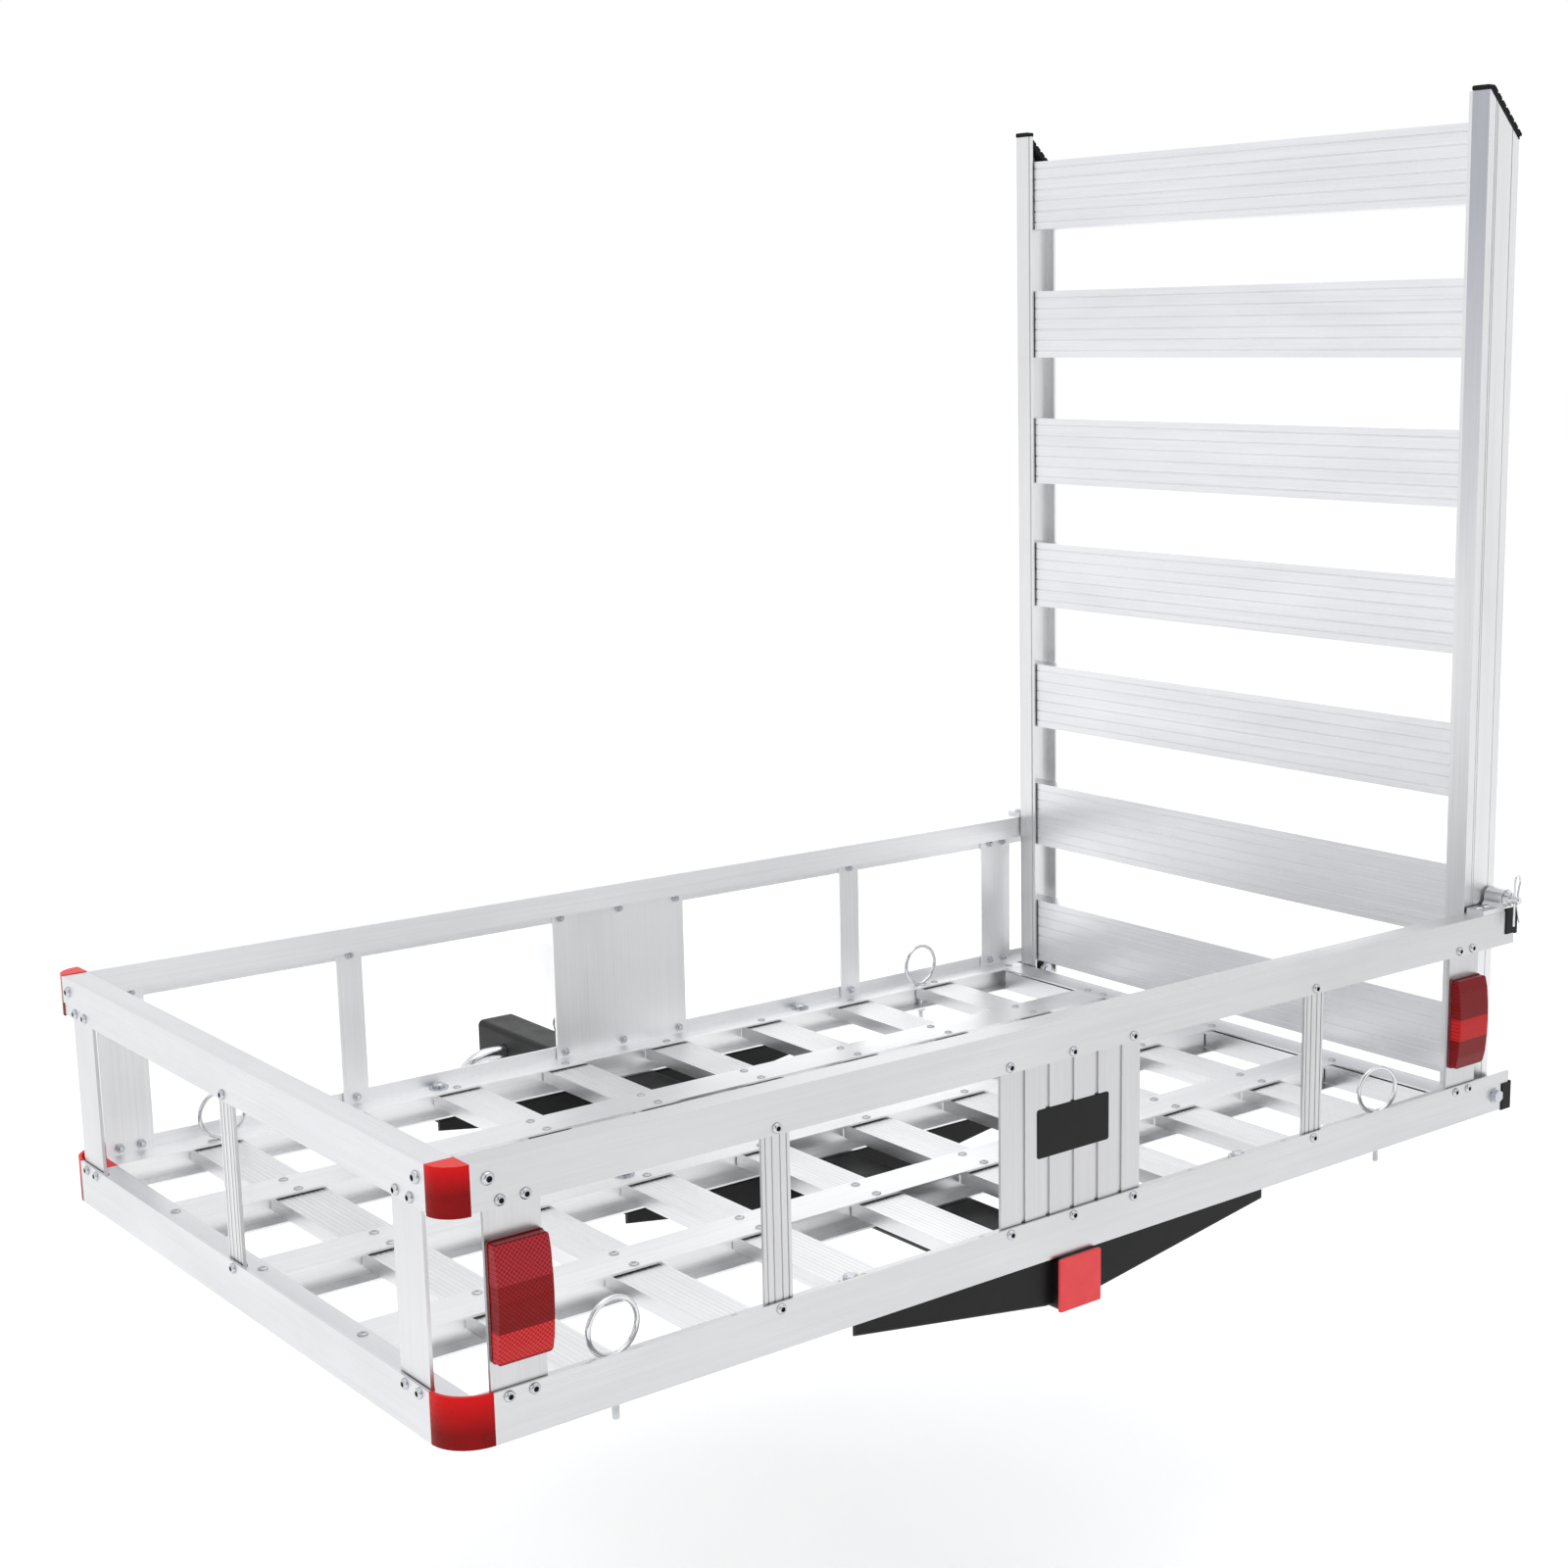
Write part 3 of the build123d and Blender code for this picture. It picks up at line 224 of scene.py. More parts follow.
def plastic(name, c0, c1, rough=0.3, grain=900.0, gstr=0.12, spec=0.5, sub=0.0, coat=0.0, trans=0.0):
    m, nt, bs = new_mat(name)
    v = coords(nt, (1, 1, 1))
    n1 = noise(nt, v, grain, 2.0, 0.5)
    n2 = noise(nt, v, 42.0, 4.0, 0.6)
    nt.links.new(ramp(nt, n2, [(0.3, c0 + (1,)), (0.7, c1 + (1,))]), bs.inputs["Base Color"])
    nt.links.new(mrange(nt, n2, rough - 0.05, rough + 0.08, 0.3, 0.7), bs.inputs["Roughness"])
    nt.links.new(bump(nt, n1, gstr, 0.0004), bs.inputs["Normal"])
    bs.inputs["Specular IOR Level"].default_value = spec
    bs.inputs["Coat Weight"].default_value = coat
    bs.inputs["Coat Roughness"].default_value = 0.12
    if sub:
        bs.inputs["Subsurface Weight"].default_value = sub
        bs.inputs["Subsurface Radius"].default_value = (0.012, 0.002, 0.0015)
        bs.inputs["Subsurface Scale"].default_value = 1.0
    if trans:
        bs.inputs["Transmission Weight"].default_value = trans
    return m


def lens_material():
    """Prismatic red lens: four bands by height under one diamond facet pattern."""
    m, nt, bs = new_mat("reflector_lens")
    tc = N(nt, "ShaderNodeTexCoord")
    sp = N(nt, "ShaderNodeSeparateXYZ")
    nt.links.new(tc.outputs["Object"], sp.inputs[0])
    z = math_node(nt, "MULTIPLY", math_node(nt, "SUBTRACT", sp.outputs[2], float(-OZ / 1000.0)), 10.0)
    # height of the lens runs from 0.66 to 1.61 in these units
    band = N(nt, "ShaderNodeValToRGB")
    band.color_ramp.interpolation = "CONSTANT"
    els = band.color_ramp.elements
    els[0].position = 0.0; els[0].color = (0.30, 0.004, 0.008, 1)
    els[1].position = 0.672; els[1].color = (0.52, 0.016, 0.018, 1)
    for pos, c in ((0.915, (0.20, 0.0006, 0.001, 1)), (1.0, (0.20, 0.0006, 0.001, 1))):
        e = els.new(min(pos, 1.0)); e.color = c
    nt.links.new(z, band.inputs[0])
    band2 = N(nt, "ShaderNodeValToRGB")
    band2.color_ramp.interpolation = "CONSTANT"
    e2 = band2.color_ramp.elements
    e2[0].position = 0.0; e2[0].color = (0.21, 0.0008, 0.001, 1)
    e2[1].position = 0.155; e2[1].color = (0.23, 0.002, 0.003, 1)
    e = e2.new(0.29); e.color = (0.33, 0.012, 0.018, 1)
    e = e2.new(0.60); e.color = (0.16, 0.002, 0.004, 1)
    zz = math_node(nt, "SUBTRACT", z, 1.0)
    nt.links.new(zz, band2.inputs[0])
    upper = math_node(nt, "GREATER_THAN", z, 1.0)
    colr = mix_rgb(nt, upper, band.outputs[0], band2.outputs[0])
    # the ramp-end lens reads with its bands in another order; the reason isn't known
    right = math_node(nt, "GREATER_THAN", sp.outputs[0], 0.0)
    inner = math_node(nt, "MULTIPLY", math_node(nt, "GREATER_THAN", z, 0.97), math_node(nt, "LESS_THAN", z, 1.20))
    alt = mix_rgb(nt, inner, (0.19, 0.0008, 0.0015, 1.0), (0.50, 0.006, 0.008, 1.0))
    colr = mix_rgb(nt, right, colr, alt)
    # diamond facets, with painted glints: colour lightened toward pink along the facet edges and darkened in the facet
    # centres
    mp = N(nt, "ShaderNodeMapping")
    mp.inputs["Rotation"].default_value = (0.0, math.radians(45), 0.0)
    mp.inputs["Scale"].default_value = (1, 1, 1)
    nt.links.new(tc.outputs["Object"], mp.inputs["Vector"])
    s2 = N(nt, "ShaderNodeSeparateXYZ")
    nt.links.new(mp.outputs["Vector"], s2.inputs[0])
    pa = math_node(nt, "PINGPONG", s2.outputs[0], 0.0014)
    pb = math_node(nt, "PINGPONG", s2.outputs[2], 0.0014)
    diam = math_node(nt, "MULTIPLY", math_node(nt, "MINIMUM", pa, pb), 715.0)
    dark = ramp(nt, diam, [(0.0, (1.6, 4.0, 4.0, 1)), (0.14, (1.0, 1.0, 1.0, 1)), (0.7, (0.60, 0.4, 0.4, 1))])
    colr = mix_rgb(nt, 1.0, colr, dark, "MULTIPLY")
    nt.links.new(colr, bs.inputs["Base Color"])
    bs.inputs["Roughness"].default_value = 0.20
    rv = coords(nt, (160, 160, 160))
    rn = noise(nt, rv, 1.0, 3.0, 0.5)
    nt.links.new(mrange(nt, rn, 0.14, 0.26, 0.3, 0.7), bs.inputs["Roughness"])
    nt.links.new(bump(nt, diam, 0.35, 0.0006), bs.inputs["Normal"])
    bs.inputs["Specular IOR Level"].default_value = 0.12
    bs.inputs["Coat Weight"].default_value = 0.10
    bs.inputs["Coat Roughness"].default_value = 0.06
    return m


def cap_material():
    """Red moulded corner cap with painted light: upward faces lighter, sides deeper red, and a painted highlight
    brightening the sides toward the top edge of each cap.
    """
    m, nt, bs = new_mat("red_cap_painted_light")
    geo = N(nt, "ShaderNodeNewGeometry")
    sp = N(nt, "ShaderNodeSeparateXYZ")
    nt.links.new(geo.outputs["Normal"], sp.inputs[0])
    v = coords(nt, (1, 1, 1))
    n2 = noise(nt, v, 34.0, 4.0, 0.6)
    n1 = noise(nt, v, 700.0, 2.0, 0.5)
    # the sides get the deep red as painted shade; upward faces get the light red as painted light
    side = ramp(nt, n2, [(0.3, (0.18, 0.0004, 0.0008, 1)), (0.7, (0.25, 0.0008, 0.0014, 1))])
    top = ramp(nt, n2, [(0.3, (0.62, 0.008, 0.006, 1)), (0.7, (0.70, 0.014, 0.010, 1))])
    tcc = N(nt, "ShaderNodeTexCoord")
    sz = N(nt, "ShaderNodeSeparateXYZ")
    nt.links.new(tcc.outputs["Object"], sz.inputs[0])
    # painted highlight: the sides brighten toward the top of each cap, at the low and the top cap heights
    zl = M(0, 0, 0).z
    zt = M(0, 0, 186.0).z
    lowc = math_node(nt, "GREATER_THAN", sz.outputs[2], float(M(0, 0, 100.0).z))
    f1 = mrange(nt, sz.outputs[2], 0.0, 1.0, float(zl + 0.012), float(zl + 0.040))
    f2 = mrange(nt, sz.outputs[2], 0.0, 1.0, float(zt + 0.016), float(zt + 0.037))
    hi = math_node(nt, "MAXIMUM", math_node(nt, "MULTIPLY", f1, math_node(nt, "SUBTRACT", 1.0, lowc)), math_node(nt, "MULTIPLY", f2, lowc))
    side = mix_rgb(nt, hi, side, (0.60, 0.003, 0.004, 1.0))
    # blend by how far each face points up: painted light on top, painted shade on the sides
    up = mrange(nt, sp.outputs[2], 0.0, 1.0, 0.15, 0.85)
    nt.links.new(mix_rgb(nt, up, side, top), bs.inputs["Base Color"])
    nt.links.new(mrange(nt, n2, 0.24, 0.34, 0.3, 0.7), bs.inputs["Roughness"])
    nt.links.new(bump(nt, n1, 0.05, 0.0003), bs.inputs["Normal"])
    bs.inputs["Specular IOR Level"].default_value = 0.10
    bs.inputs["Coat Weight"].default_value = 0.03
    bs.inputs["Coat Roughness"].default_value = 0.15
    return m


# mill aluminium in near and far copies with painted light in the base brightness: near rails, posts and panel darker
# (painted shade); far rails, posts and panel lighter and less metallic (painted light)
MAT = {
    "alu_x_near_painted_shade": extruded("alu_rail_x_painted_shade", 0, base=0.62, seed=1.0),
    "alu_far_rail_painted_light": extruded("alu_rail_far_painted_light", 0, base=0.95, rough=0.40, seed=1.3, metal=0.80),
    "alu_deck": extruded("alu_deck_x", 0, base=0.83, rough=0.36, seed=1.7),
    "alu_y": extruded("alu_rail_y", 1, base=0.73, seed=2.0, tint=(0.975, 0.98, 1.0)),
    "alu_z": extruded("alu_rail_z", 2, base=0.78, seed=3.0, flange_painted_reflection=0.0),
    # near ramp rail: its front flange carries a painted reflection, darkened and bluish
    "alu_z_near_painted_reflection": extruded("alu_rail_z_near_painted_reflection", 2, base=0.78, seed=3.3, flange_painted_reflection=0.42),
    "post_z": extruded("alu_post_z", 2, base=0.72, rough=0.33, seed=4.0, mids=0.2),
    "near_z_painted_shade": extruded("near_posts_alu_painted_shade", 2, base=0.60, rough=0.34, seed=4.4, mids=0.2, tint=(1.0, 1.0, 1.01)),
    "far_z_painted_light": extruded("far_posts_alu_painted_light", 2, base=0.96, metal=0.78, rough=0.42, seed=4.8, mids=0.08, lines=0.3),
    "slat_y": extruded("alu_slat_y", 1, base=0.80, rough=0.34, lines=0.5, seed=5.0, mids=0.2),
    "tread_y": extruded("alu_tread_y", 1, base=0.83, rough=0.32, lines=0.4, seed=6.0, mids=0.2, tint=(0.975, 0.98, 1.0)),
    "zinc": zinc("zinc_plate", (0.56, 0.58, 0.61), 0.22),
    "bright": zinc("bright_plate", (0.72, 0.73, 0.75), 0.15),
    "rivet": zinc("rivet_alu", (0.50, 0.50, 0.52), 0.36),
    "black_steel": coated("black_powder_coat", 0.0042),
    "black_plastic": plastic("black_moulded", (0.004, 0.004, 0.0045), (0.008, 0.008, 0.009), 0.5, spec=0.22),
    "rubber": plastic("black_rubber", (0.004, 0.004, 0.004), (0.009, 0.009, 0.009), 0.7, 700.0, 0.25, 0.18),
    "nylon": plastic("black_nylon", (0.006, 0.006, 0.006), (0.012, 0.012, 0.012), 0.5, spec=0.25),
    "red": cap_material(),
    "plug_red": plastic("red_plug", (0.70, 0.060, 0.066), (0.76, 0.078, 0.084), 0.6, 800.0, 0.12, 0.2, sub=0.05),
    "lens": lens_material(),
    "lens_base": plastic("reflector_base", (0.09, 0.004, 0.006), (0.12, 0.006, 0.009), 0.25, 500.0, 0.05, 0.4, coat=0.2),
    "label": plastic("label_film", (0.005, 0.005, 0.0055), (0.009, 0.009, 0.0095), 0.42, 300.0, 0.02, 0.2),
    "label_edge": plastic("label_rim", (0.42, 0.42, 0.43), (0.48, 0.48, 0.49), 0.4, 300.0, 0.02, 0.3),
    # near-black material put in the screw-head recesses: painted shade
    "recess_painted_shade": plastic("recess_painted_shade_mat", (0.010, 0.010, 0.010), (0.022, 0.022, 0.022), 0.6, 500.0, 0.02, 0.2),
}

USE = {
    "lower_rail_near": "alu_x_near_painted_shade", "lower_rail_far": "alu_far_rail_painted_light", "lower_rail_left": "alu_y",
    "deck_rail_near": "alu_deck", "deck_rail_mid": "alu_deck", "deck_rail_far": "alu_deck", "deck_end_rail": "alu_y",
    "deck_slats_row_1": "slat_y", "deck_slats_row_2": "slat_y", "deck_slats_row_3": "slat_y", "deck_slats_row_4": "slat_y",
    "deck_rivets": "rivet", "top_rail_near": "alu_x_near_painted_shade", "top_rail_far": "alu_far_rail_painted_light", "top_rail_left": "alu_y",
    "corner_cap_top_near": "red", "corner_cap_top_far": "red", "corner_cap_low_near": "red", "corner_cap_low_far": "red",
    "corner_bolts": "zinc", "posts_wide_near": "near_z_painted_shade", "posts_slim_near": "near_z_painted_shade", "posts_wide_far": "far_z_painted_light",
    "posts_slim_far": "far_z_painted_light", "end_posts_wide": "post_z", "end_post_slim": "post_z", "panel_near": "near_z_painted_shade",
    "panel_label": "label", "panel_far": "far_z_painted_light", "panel_gussets": "far_z_painted_light", "side_screws": "zinc", "side_nuts": "zinc",
    "end_plugs": "black_plastic", "reflector_bases": "lens_base", "reflector_lenses": "lens", "tie_down_eyes": "bright",
    "tie_down_nuts": "zinc", "cross_beam_near": "black_steel", "cross_beam_mid": "black_steel", "cross_beam_far": "black_steel",
    "beam_bolts": "zinc", "beam_nuts": "zinc", "hitch_shank": "black_steel", "shank_plug": "plug_red",
    "hitch_pin": "bright", "hitch_pin_clip": "bright", "ramp_rail_near": "alu_z_near_painted_reflection", "ramp_rail_far": "alu_z",
    "ramp_treads": "tread_y", "ramp_feet": "rubber", "ramp_bushes": "nylon", "pivot_bolts": "zinc",
    "pivot_spacers": "nylon", "pivot_nuts": "zinc", "latch_brackets": "alu_y", "latch_screws": "zinc",
    "latch_pin_near": "bright", "latch_pin_far": "bright", "latch_clip_near": "bright", "latch_clip_far": "bright",
}
for node, key in USE.items():
    o = NODES[node]
    if not o.material_slots:
        o.data.materials.append(MAT[key])
    for s in o.material_slots:
        s.material = MAT[key]


# ------------------------------------------------------------------ soft edges on the CAD pieces
BEVEL = {"corner_cap_top_near": 0.0022, "corner_cap_top_far": 0.0022, "corner_cap_low_near": 0.0022,
         "corner_cap_low_far": 0.0022, "shank_plug": 0.0008, "hitch_shank": 0.0006, "ramp_feet": 0.0012,
         "end_plugs": 0.0006, "reflector_lenses": 0.0011, "reflector_bases": 0.0006,
         "cross_beam_near": 0.0006, "cross_beam_mid": 0.0006, "cross_beam_far": 0.0006,
         "latch_brackets": 0.0005, "latch_pin_near": 0.0003, "latch_pin_far": 0.0003}
SKIP_BEVEL = {"hitch_pin_clip", "latch_clip_near", "latch_clip_far", "tie_down_eyes", "deck_rivets",
              "side_screws", "side_nuts", "corner_bolts", "latch_screws", "panel_label", "hitch_pin"}
for node in USE:
    if node in SKIP_BEVEL:
        continue
    o = NODES[node]
    b = o.modifiers.new("soft_edges", "BEVEL")
    b.width = BEVEL.get(node, 0.00035)
    b.segments = 2
    b.limit_method = "ANGLE"
    b.angle_limit = math.radians(42)
    b.harden_normals = False


# ------------------------------------------------------------------ detail meshes
class Soup:
    """Vertices and faces gathered into one mesh piece."""

    def __init__(self):
        self.v, self.f, self.mi = [], [], []

    def add(self, verts, faces, mi=0):
        k = len(self.v)
        self.v += [tuple(p) for p in verts]
        self.f += [tuple(k + i for i in f) for f in faces]
        self.mi += [mi] * len(faces)

    def piece(self, name, mats, body, slot, nodes=()):
        me = bpy.data.meshes.new(name)
        me.from_pydata(self.v, [], self.f)
        for m in mats:
            me.materials.append(MAT[m])
        for p, i in zip(me.polygons, self.mi):
            p.material_index = i
            p.use_smooth = True
        bm = bmesh.new()
        bm.from_mesh(me)
        bmesh.ops.recalc_face_normals(bm, faces=bm.faces)
        bm.to_mesh(me)
        bm.free()
        me.set_sharp_from_angle(angle=math.radians(38))
        o = bpy.data.objects.new(name, me)
        scene.collection.objects.link(o)
        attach(o, body)
        if nodes:
            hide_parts(*nodes)
        return o


def axes_for(d):
    d = Vector(d).normalized()
    a = Vector((0, 0, 1)) if abs(d.z) < 0.9 else Vector((1, 0, 0))
    u = d.cross(a).normalized()
    return u, d.cross(u).normalized(), d


def lathe(soup, at, d, prof, seg=24, mi=0, twist=0.0, sides=None, af=None):
    """Profile of (radius mm, height mm) turned about axis d at point at (row frame)."""
    u, w, d = axes_for(d)
    verts, faces, rows = [], [], []
    for r, h in prof:
        row = []
        if r < 1e-6:
            verts.append(at + d * (h / 1000.0)); row = [len(verts) - 1] * seg
        else:
            for i in range(seg):
                t = 2 * math.pi * i / seg + twist
                rr = r
                if r < 0:
                    rr = -r
                verts.append(at + (u * math.cos(t) + w * math.sin(t)) * (rr / 1000.0) + d * (h / 1000.0))
                row.append(len(verts) - 1)
        rows.append(row)
    for a, b in zip(rows, rows[1:]):
        for i in range(seg):
            j = (i + 1) % seg
            q = []
            for k in (a[i], a[j], b[j], b[i]):
                if k not in q:
                    q.append(k)
            if len(q) > 2:
                faces.append(q)
    soup.add(verts, faces, mi)


def hexnut(soup, at, d, af, h, bore, mi=0, collar=True):
    """Chamfered hexagon nut with a rounded locking collar."""
    u, w, d = axes_for(d)
    seg = 36
    R = af / math.sqrt(3)
    verts, rows = [], []

    def ring(fn, hh):
        row = []
        for i in range(seg):
            t = 2 * math.pi * i / seg
            r = fn(t)
            verts.append(at + (u * math.cos(t) + w * math.sin(t)) * (r / 1000.0) + d * (hh / 1000.0))
            row.append(len(verts) - 1)
        rows.append(row)

    def hx(t):
        a = (t % (math.pi / 3)) - math.pi / 6
        return (af / 2) / math.cos(a)

    ring(lambda t: af / 2 * 0.96, 0.0)
    ring(lambda t: min(hx(t), af / 2 * 1.03), 0.02)
    ring(hx, 0.35)
    ring(hx, h * 0.66)
    ring(lambda t: min(hx(t), af / 2 * 1.03), h * 0.66 + 0.4)
    ring(lambda t: af / 2 * 0.90, h * 0.68 + 0.4)
    ring(lambda t: af / 2 * 0.86, h * 0.94)
    ring(lambda t: af / 2 * 0.76, h)
    ring(lambda t: bore * 1.05, h)
    ring(lambda t: bore * 1.0, h - 0.5)
    faces = []
    for a, b in zip(rows, rows[1:]):
        for i in range(seg):
            j = (i + 1) % seg
            faces.append((a[i], a[j], b[j], b[i]))
    soup.add(verts, faces, mi)


def thread(r, z0, z1, pitch=0.9, depth=0.28):
    """Lathe profile with thread crests between two heights."""
    out = [(0.0, z0), (r - depth - 0.3, z0), (r - depth, z0 + 0.3)]
    z = z0 + 0.3
    while z + pitch < z1:
        out += [(r - depth, z), (r, z + pitch * 0.35), (r, z + pitch * 0.5), (r - depth, z + pitch * 0.85)]
        z += pitch
    out += [(r - depth * 0.2, z1)]
    return out


def tube(soup, pts, r, seg=14, mi=0, closed=False):
    """Round wire along a smooth path of row-frame points, r in mm."""
    n = len(pts)
    verts, rows, faces = [], [], []
    up = None
    for i, p in enumerate(pts):
        a = pts[(i - 1) % n] if (closed or i > 0) else pts[i]
        b = pts[(i + 1) % n] if (closed or i < n - 1) else pts[i]
        t = (b - a).normalized()
        if up is None:
            up = t.cross(Vector((0.31, 0.52, 0.79))).normalized()
        up = (up - t * up.dot(t)).normalized()
        w = t.cross(up)
        rows.append([])
        for k in range(seg):
            q = 2 * math.pi * k / seg
            verts.append(p + (up * math.cos(q) + w * math.sin(q)) * (r / 1000.0))
            rows[-1].append(len(verts) - 1)
    pairs = list(zip(rows, rows[1:])) + ([(rows[-1], rows[0])] if closed else [])
    for a, b in pairs:
        for k in range(seg):
            j = (k + 1) % seg
            faces.append((a[k], a[j], b[j], b[k]))
    if not closed:
        for row, p, s in ((rows[0], pts[0], -1), (rows[-1], pts[-1], 1)):
            verts.append(p)
            c = len(verts) - 1
            for k in range(seg):
                faces.append((row[k], row[(k + 1) % seg], c))
    soup.add(verts, faces, mi)


def smooth_path(pts, per=10):
    """Catmull-Rom through the points."""
    out = []
    P_ = [pts[0] * 2 - pts[1]] + list(pts) + [pts[-1] * 2 - pts[-2]]
    for i in range(1, len(P_) - 2):
        a, b, c, d = P_[i - 1], P_[i], P_[i + 1], P_[i + 2]
        for k in range(per):
            t = k / per
            out.append(0.5 * ((2 * b) + (c - a) * t + (2 * a - 5 * b + 4 * c - d) * t * t
                              + (3 * b - a - 3 * c + d) * t * t * t))
    out.append(pts[-1])
    return out


# tie-down eyes: round wire ring drawn down to a shouldered, threaded stud
EYES = [(152.0, 23.0, 5), (1075.0, 23.0, -12), (146.0, WID - 23.0, 3), (1048.5, WID - 23.0, 3)]
LOW_H = 28.7
ring_soup = Soup()
for ex, ey, turn in EYES:
    c = M(ex, ey, 55.0)
    t0 = math.radians(turn)
    ux = Vector((math.cos(t0), math.sin(t0), 0))
    path = []
    for k in range(72):
        a = 2 * math.pi * k / 72
        rr = 23.7
        px, pz = math.sin(a) * rr, -math.cos(a) * rr
        # the two ends of the ring run together into the stud
        near_b = max(0.0, 1 - abs(((a + math.pi) % (2 * math.pi)) - math.pi) / 0.42)
        pz -= near_b * near_b * 3.2
        path.append(c + ux * (px / 1000) + Vector((0, 0, pz / 1000)))
    tube(ring_soup, path, 2.3, 16, closed=True)
    base = M(ex, ey, 0.0)
    lathe(ring_soup, base, (0, 0, 1), thread(3.0, -23.0, 22.0, 1.0, 0.3) + [(3.0, LOW_H - 0.0), (3.0, 29.4), (3.5, 30.2), (3.2, 31.4), (2.4, 32.4), (0, 32.6)], 18)
    # wide washer on the deck flange
    lathe(ring_soup, M(ex, ey, LOW_H), (0, 0, 1), [(3.1, 0.0), (7.2, 0.0), (7.5, 0.3), (7.4, 0.9), (7.0, 1.1), (3.1, 1.1)], 28)
ring_soup.piece("eye_rings_detail", ["bright"], "carrier", "zinc_steel", ("tie_down_eyes",))

# rivets: low dome with the pulled mandrel's dimple
src = NODES["deck_rivets"].data
rv = Soup()
bm0 = bmesh.new(); bm0.from_mesh(src)
seen = set(); centres = []
for v0 in bm0.verts:
    if v0.index in seen:
        continue
    stack, comp = [v0], []
    seen.add(v0.index)
    while stack:
        v1 = stack.pop(); comp.append(v1.co.copy())
        for e in v1.link_edges:
            o2 = e.other_vert(v1)
            if o2.index not in seen:
                seen.add(o2.index); stack.append(o2)
    xs_ = [p.x for p in comp]; ys_ = [p.y for p in comp]
    centres.append((round((min(xs_) + max(xs_)) / 2, 5), round((min(ys_) + max(ys_)) / 2, 5), min(ys_), max(ys_)))
bm0.free()
uniq = []
for cx_, cy_, a_, b_ in centres:
    if b_ - a_ > 0.001 and all(abs(cx_ - p[0]) > 0.001 or abs(cy_ - p[1]) > 0.001 for p in uniq):
        uniq.append((cx_, cy_))
ztop = M(0, 0, LOW_H).z
for cx_, cy_ in uniq:
    lathe(rv, Vector((cx_, cy_, ztop)), (0, 0, 1),
          [(0, -6.5), (2.1, -6.5), (2.1, 0.0), (4.6, 0.0), (4.6, 0.25), (4.3, 0.8), (3.5, 1.25), (2.3, 1.5), (1.5, 1.55), (1.25, 1.2), (1.2, 0.9), (0, 0.85)], 22)
rv.piece("deck_rivets_detail", ["rivet"], "carrier", "rivet_aluminium", ("deck_rivets",))

# screws: low domed heads with a recess painted near-black as shade, nuts with collars and thread ends behind
MID_X = 624.0
WIDE_X = [MID_X - 565.5, MID_X + 564.5]
SLIM_X = [MID_X - 326.5, MID_X + 327.0]
xs = []
for x in WIDE_X:
    xs += [x - 10.7, x + 10.7]
xs += SLIM_X + [MID_X - 76.0, MID_X - 0.5, MID_X + 75.0]
ys = [62.0 - 11.5, 62.0 + 11.5, WID - 62.0 - 11.5, WID - 62.0 + 11.5, 389.0]
HEAD = [(0, 11.5), (2.0, 11.5), (2.3, 11.0), (2.3, 0.0), (4.6, 0.0), (4.75, 0.15), (4.7, 0.6), (4.2, 1.5), (3.3, 2.2), (2.2, 2.55),
        (1.9, 2.5), (1.7, 1.2), (0, 1.0)]


def head(soup, p, d, k=1.0, length=11.0):
    prof = [(r * k, -h if h > 3 else h * k) for r, h in HEAD]
    prof = [(0, -length), (2.0 * k, -length), (2.3 * k, -length + 0.5), (2.3 * k, 0.0)] + [(r * k, h * k) for r, h in HEAD[4:]]
    lathe(soup, p, d, prof[:-3], 26, 0)
    # the hex recess takes the near-black second material as painted shade
    lathe(soup, p, d, prof[-4:], 6, 1)


sc, nu = Soup(), Soup()
PL = 2.5 + 0.8 + 3.0
for x in xs:
    for z in (36.0, 191.5):
        f0 = 0.0 if z < 100 else 0.8
        for sgn, y in ((-1, f0), (1, WID - f0)):
            head(sc, M(x, y, z), (0, sgn, 0))
            yy = PL if sgn < 0 else WID - PL
            hexnut(nu, M(x, yy, z), (0, -sgn, 0), 8.0, 3.6, 2.35)
            lathe(nu, M(x, yy, z), (0, -sgn, 0), [(2.25, 2.6)] + [(2.3 - 0.2 * (i % 2), 2.8 + i * 0.35) for i in range(9)] + [(1.9, 6.0), (0, 6.0)], 16)
for y in ys:
    for z in (36.0, 191.5):
        f0 = 0.0 if z < 100 else 0.8
        head(sc, M(f0, y, z), (-1, 0, 0))
        hexnut(nu, M(PL, y, z), (1, 0, 0), 8.0, 3.6, 2.35)
        lathe(nu, M(PL, y, z), (1, 0, 0), [(2.25, 2.6)] + [(2.3 - 0.2 * (i % 2), 2.8 + i * 0.35) for i in range(9)] + [(1.9, 6.0), (0, 6.0)], 16)
sc.piece("side_screws_detail", ["zinc", "recess_painted_shade"], "carrier", "zinc_steel", ("side_screws",))
nu.piece("side_nuts_detail", ["zinc"], "carrier", "zinc_steel", ("side_nuts",))
cbs = Soup()
for sgn, y in ((-1, 0.0), (1, WID)):
    head(cbs, M(38.2, y, 210.8), (0, sgn, 0), 1.15, 10.0)
    head(cbs, M(0.0, 38.2 if sgn < 0 else WID - 38.2, 210.8), (-1, 0, 0), 1.15, 10.0)
cbs.piece("corner_bolts_detail", ["zinc", "recess_painted_shade"], "carrier", "zinc_steel", ("corner_bolts",))
ls = Soup()
for y in (12.0, WID - 12.0):
    for x in (1222.5, 1234.5):
        head(ls, M(x, y, 229.0), (0, 0, 1), 0.93, 10.0)
ls.piece("latch_screws_detail", ["zinc", "recess_painted_shade"], "carrier", "zinc_steel", ("latch_screws",))


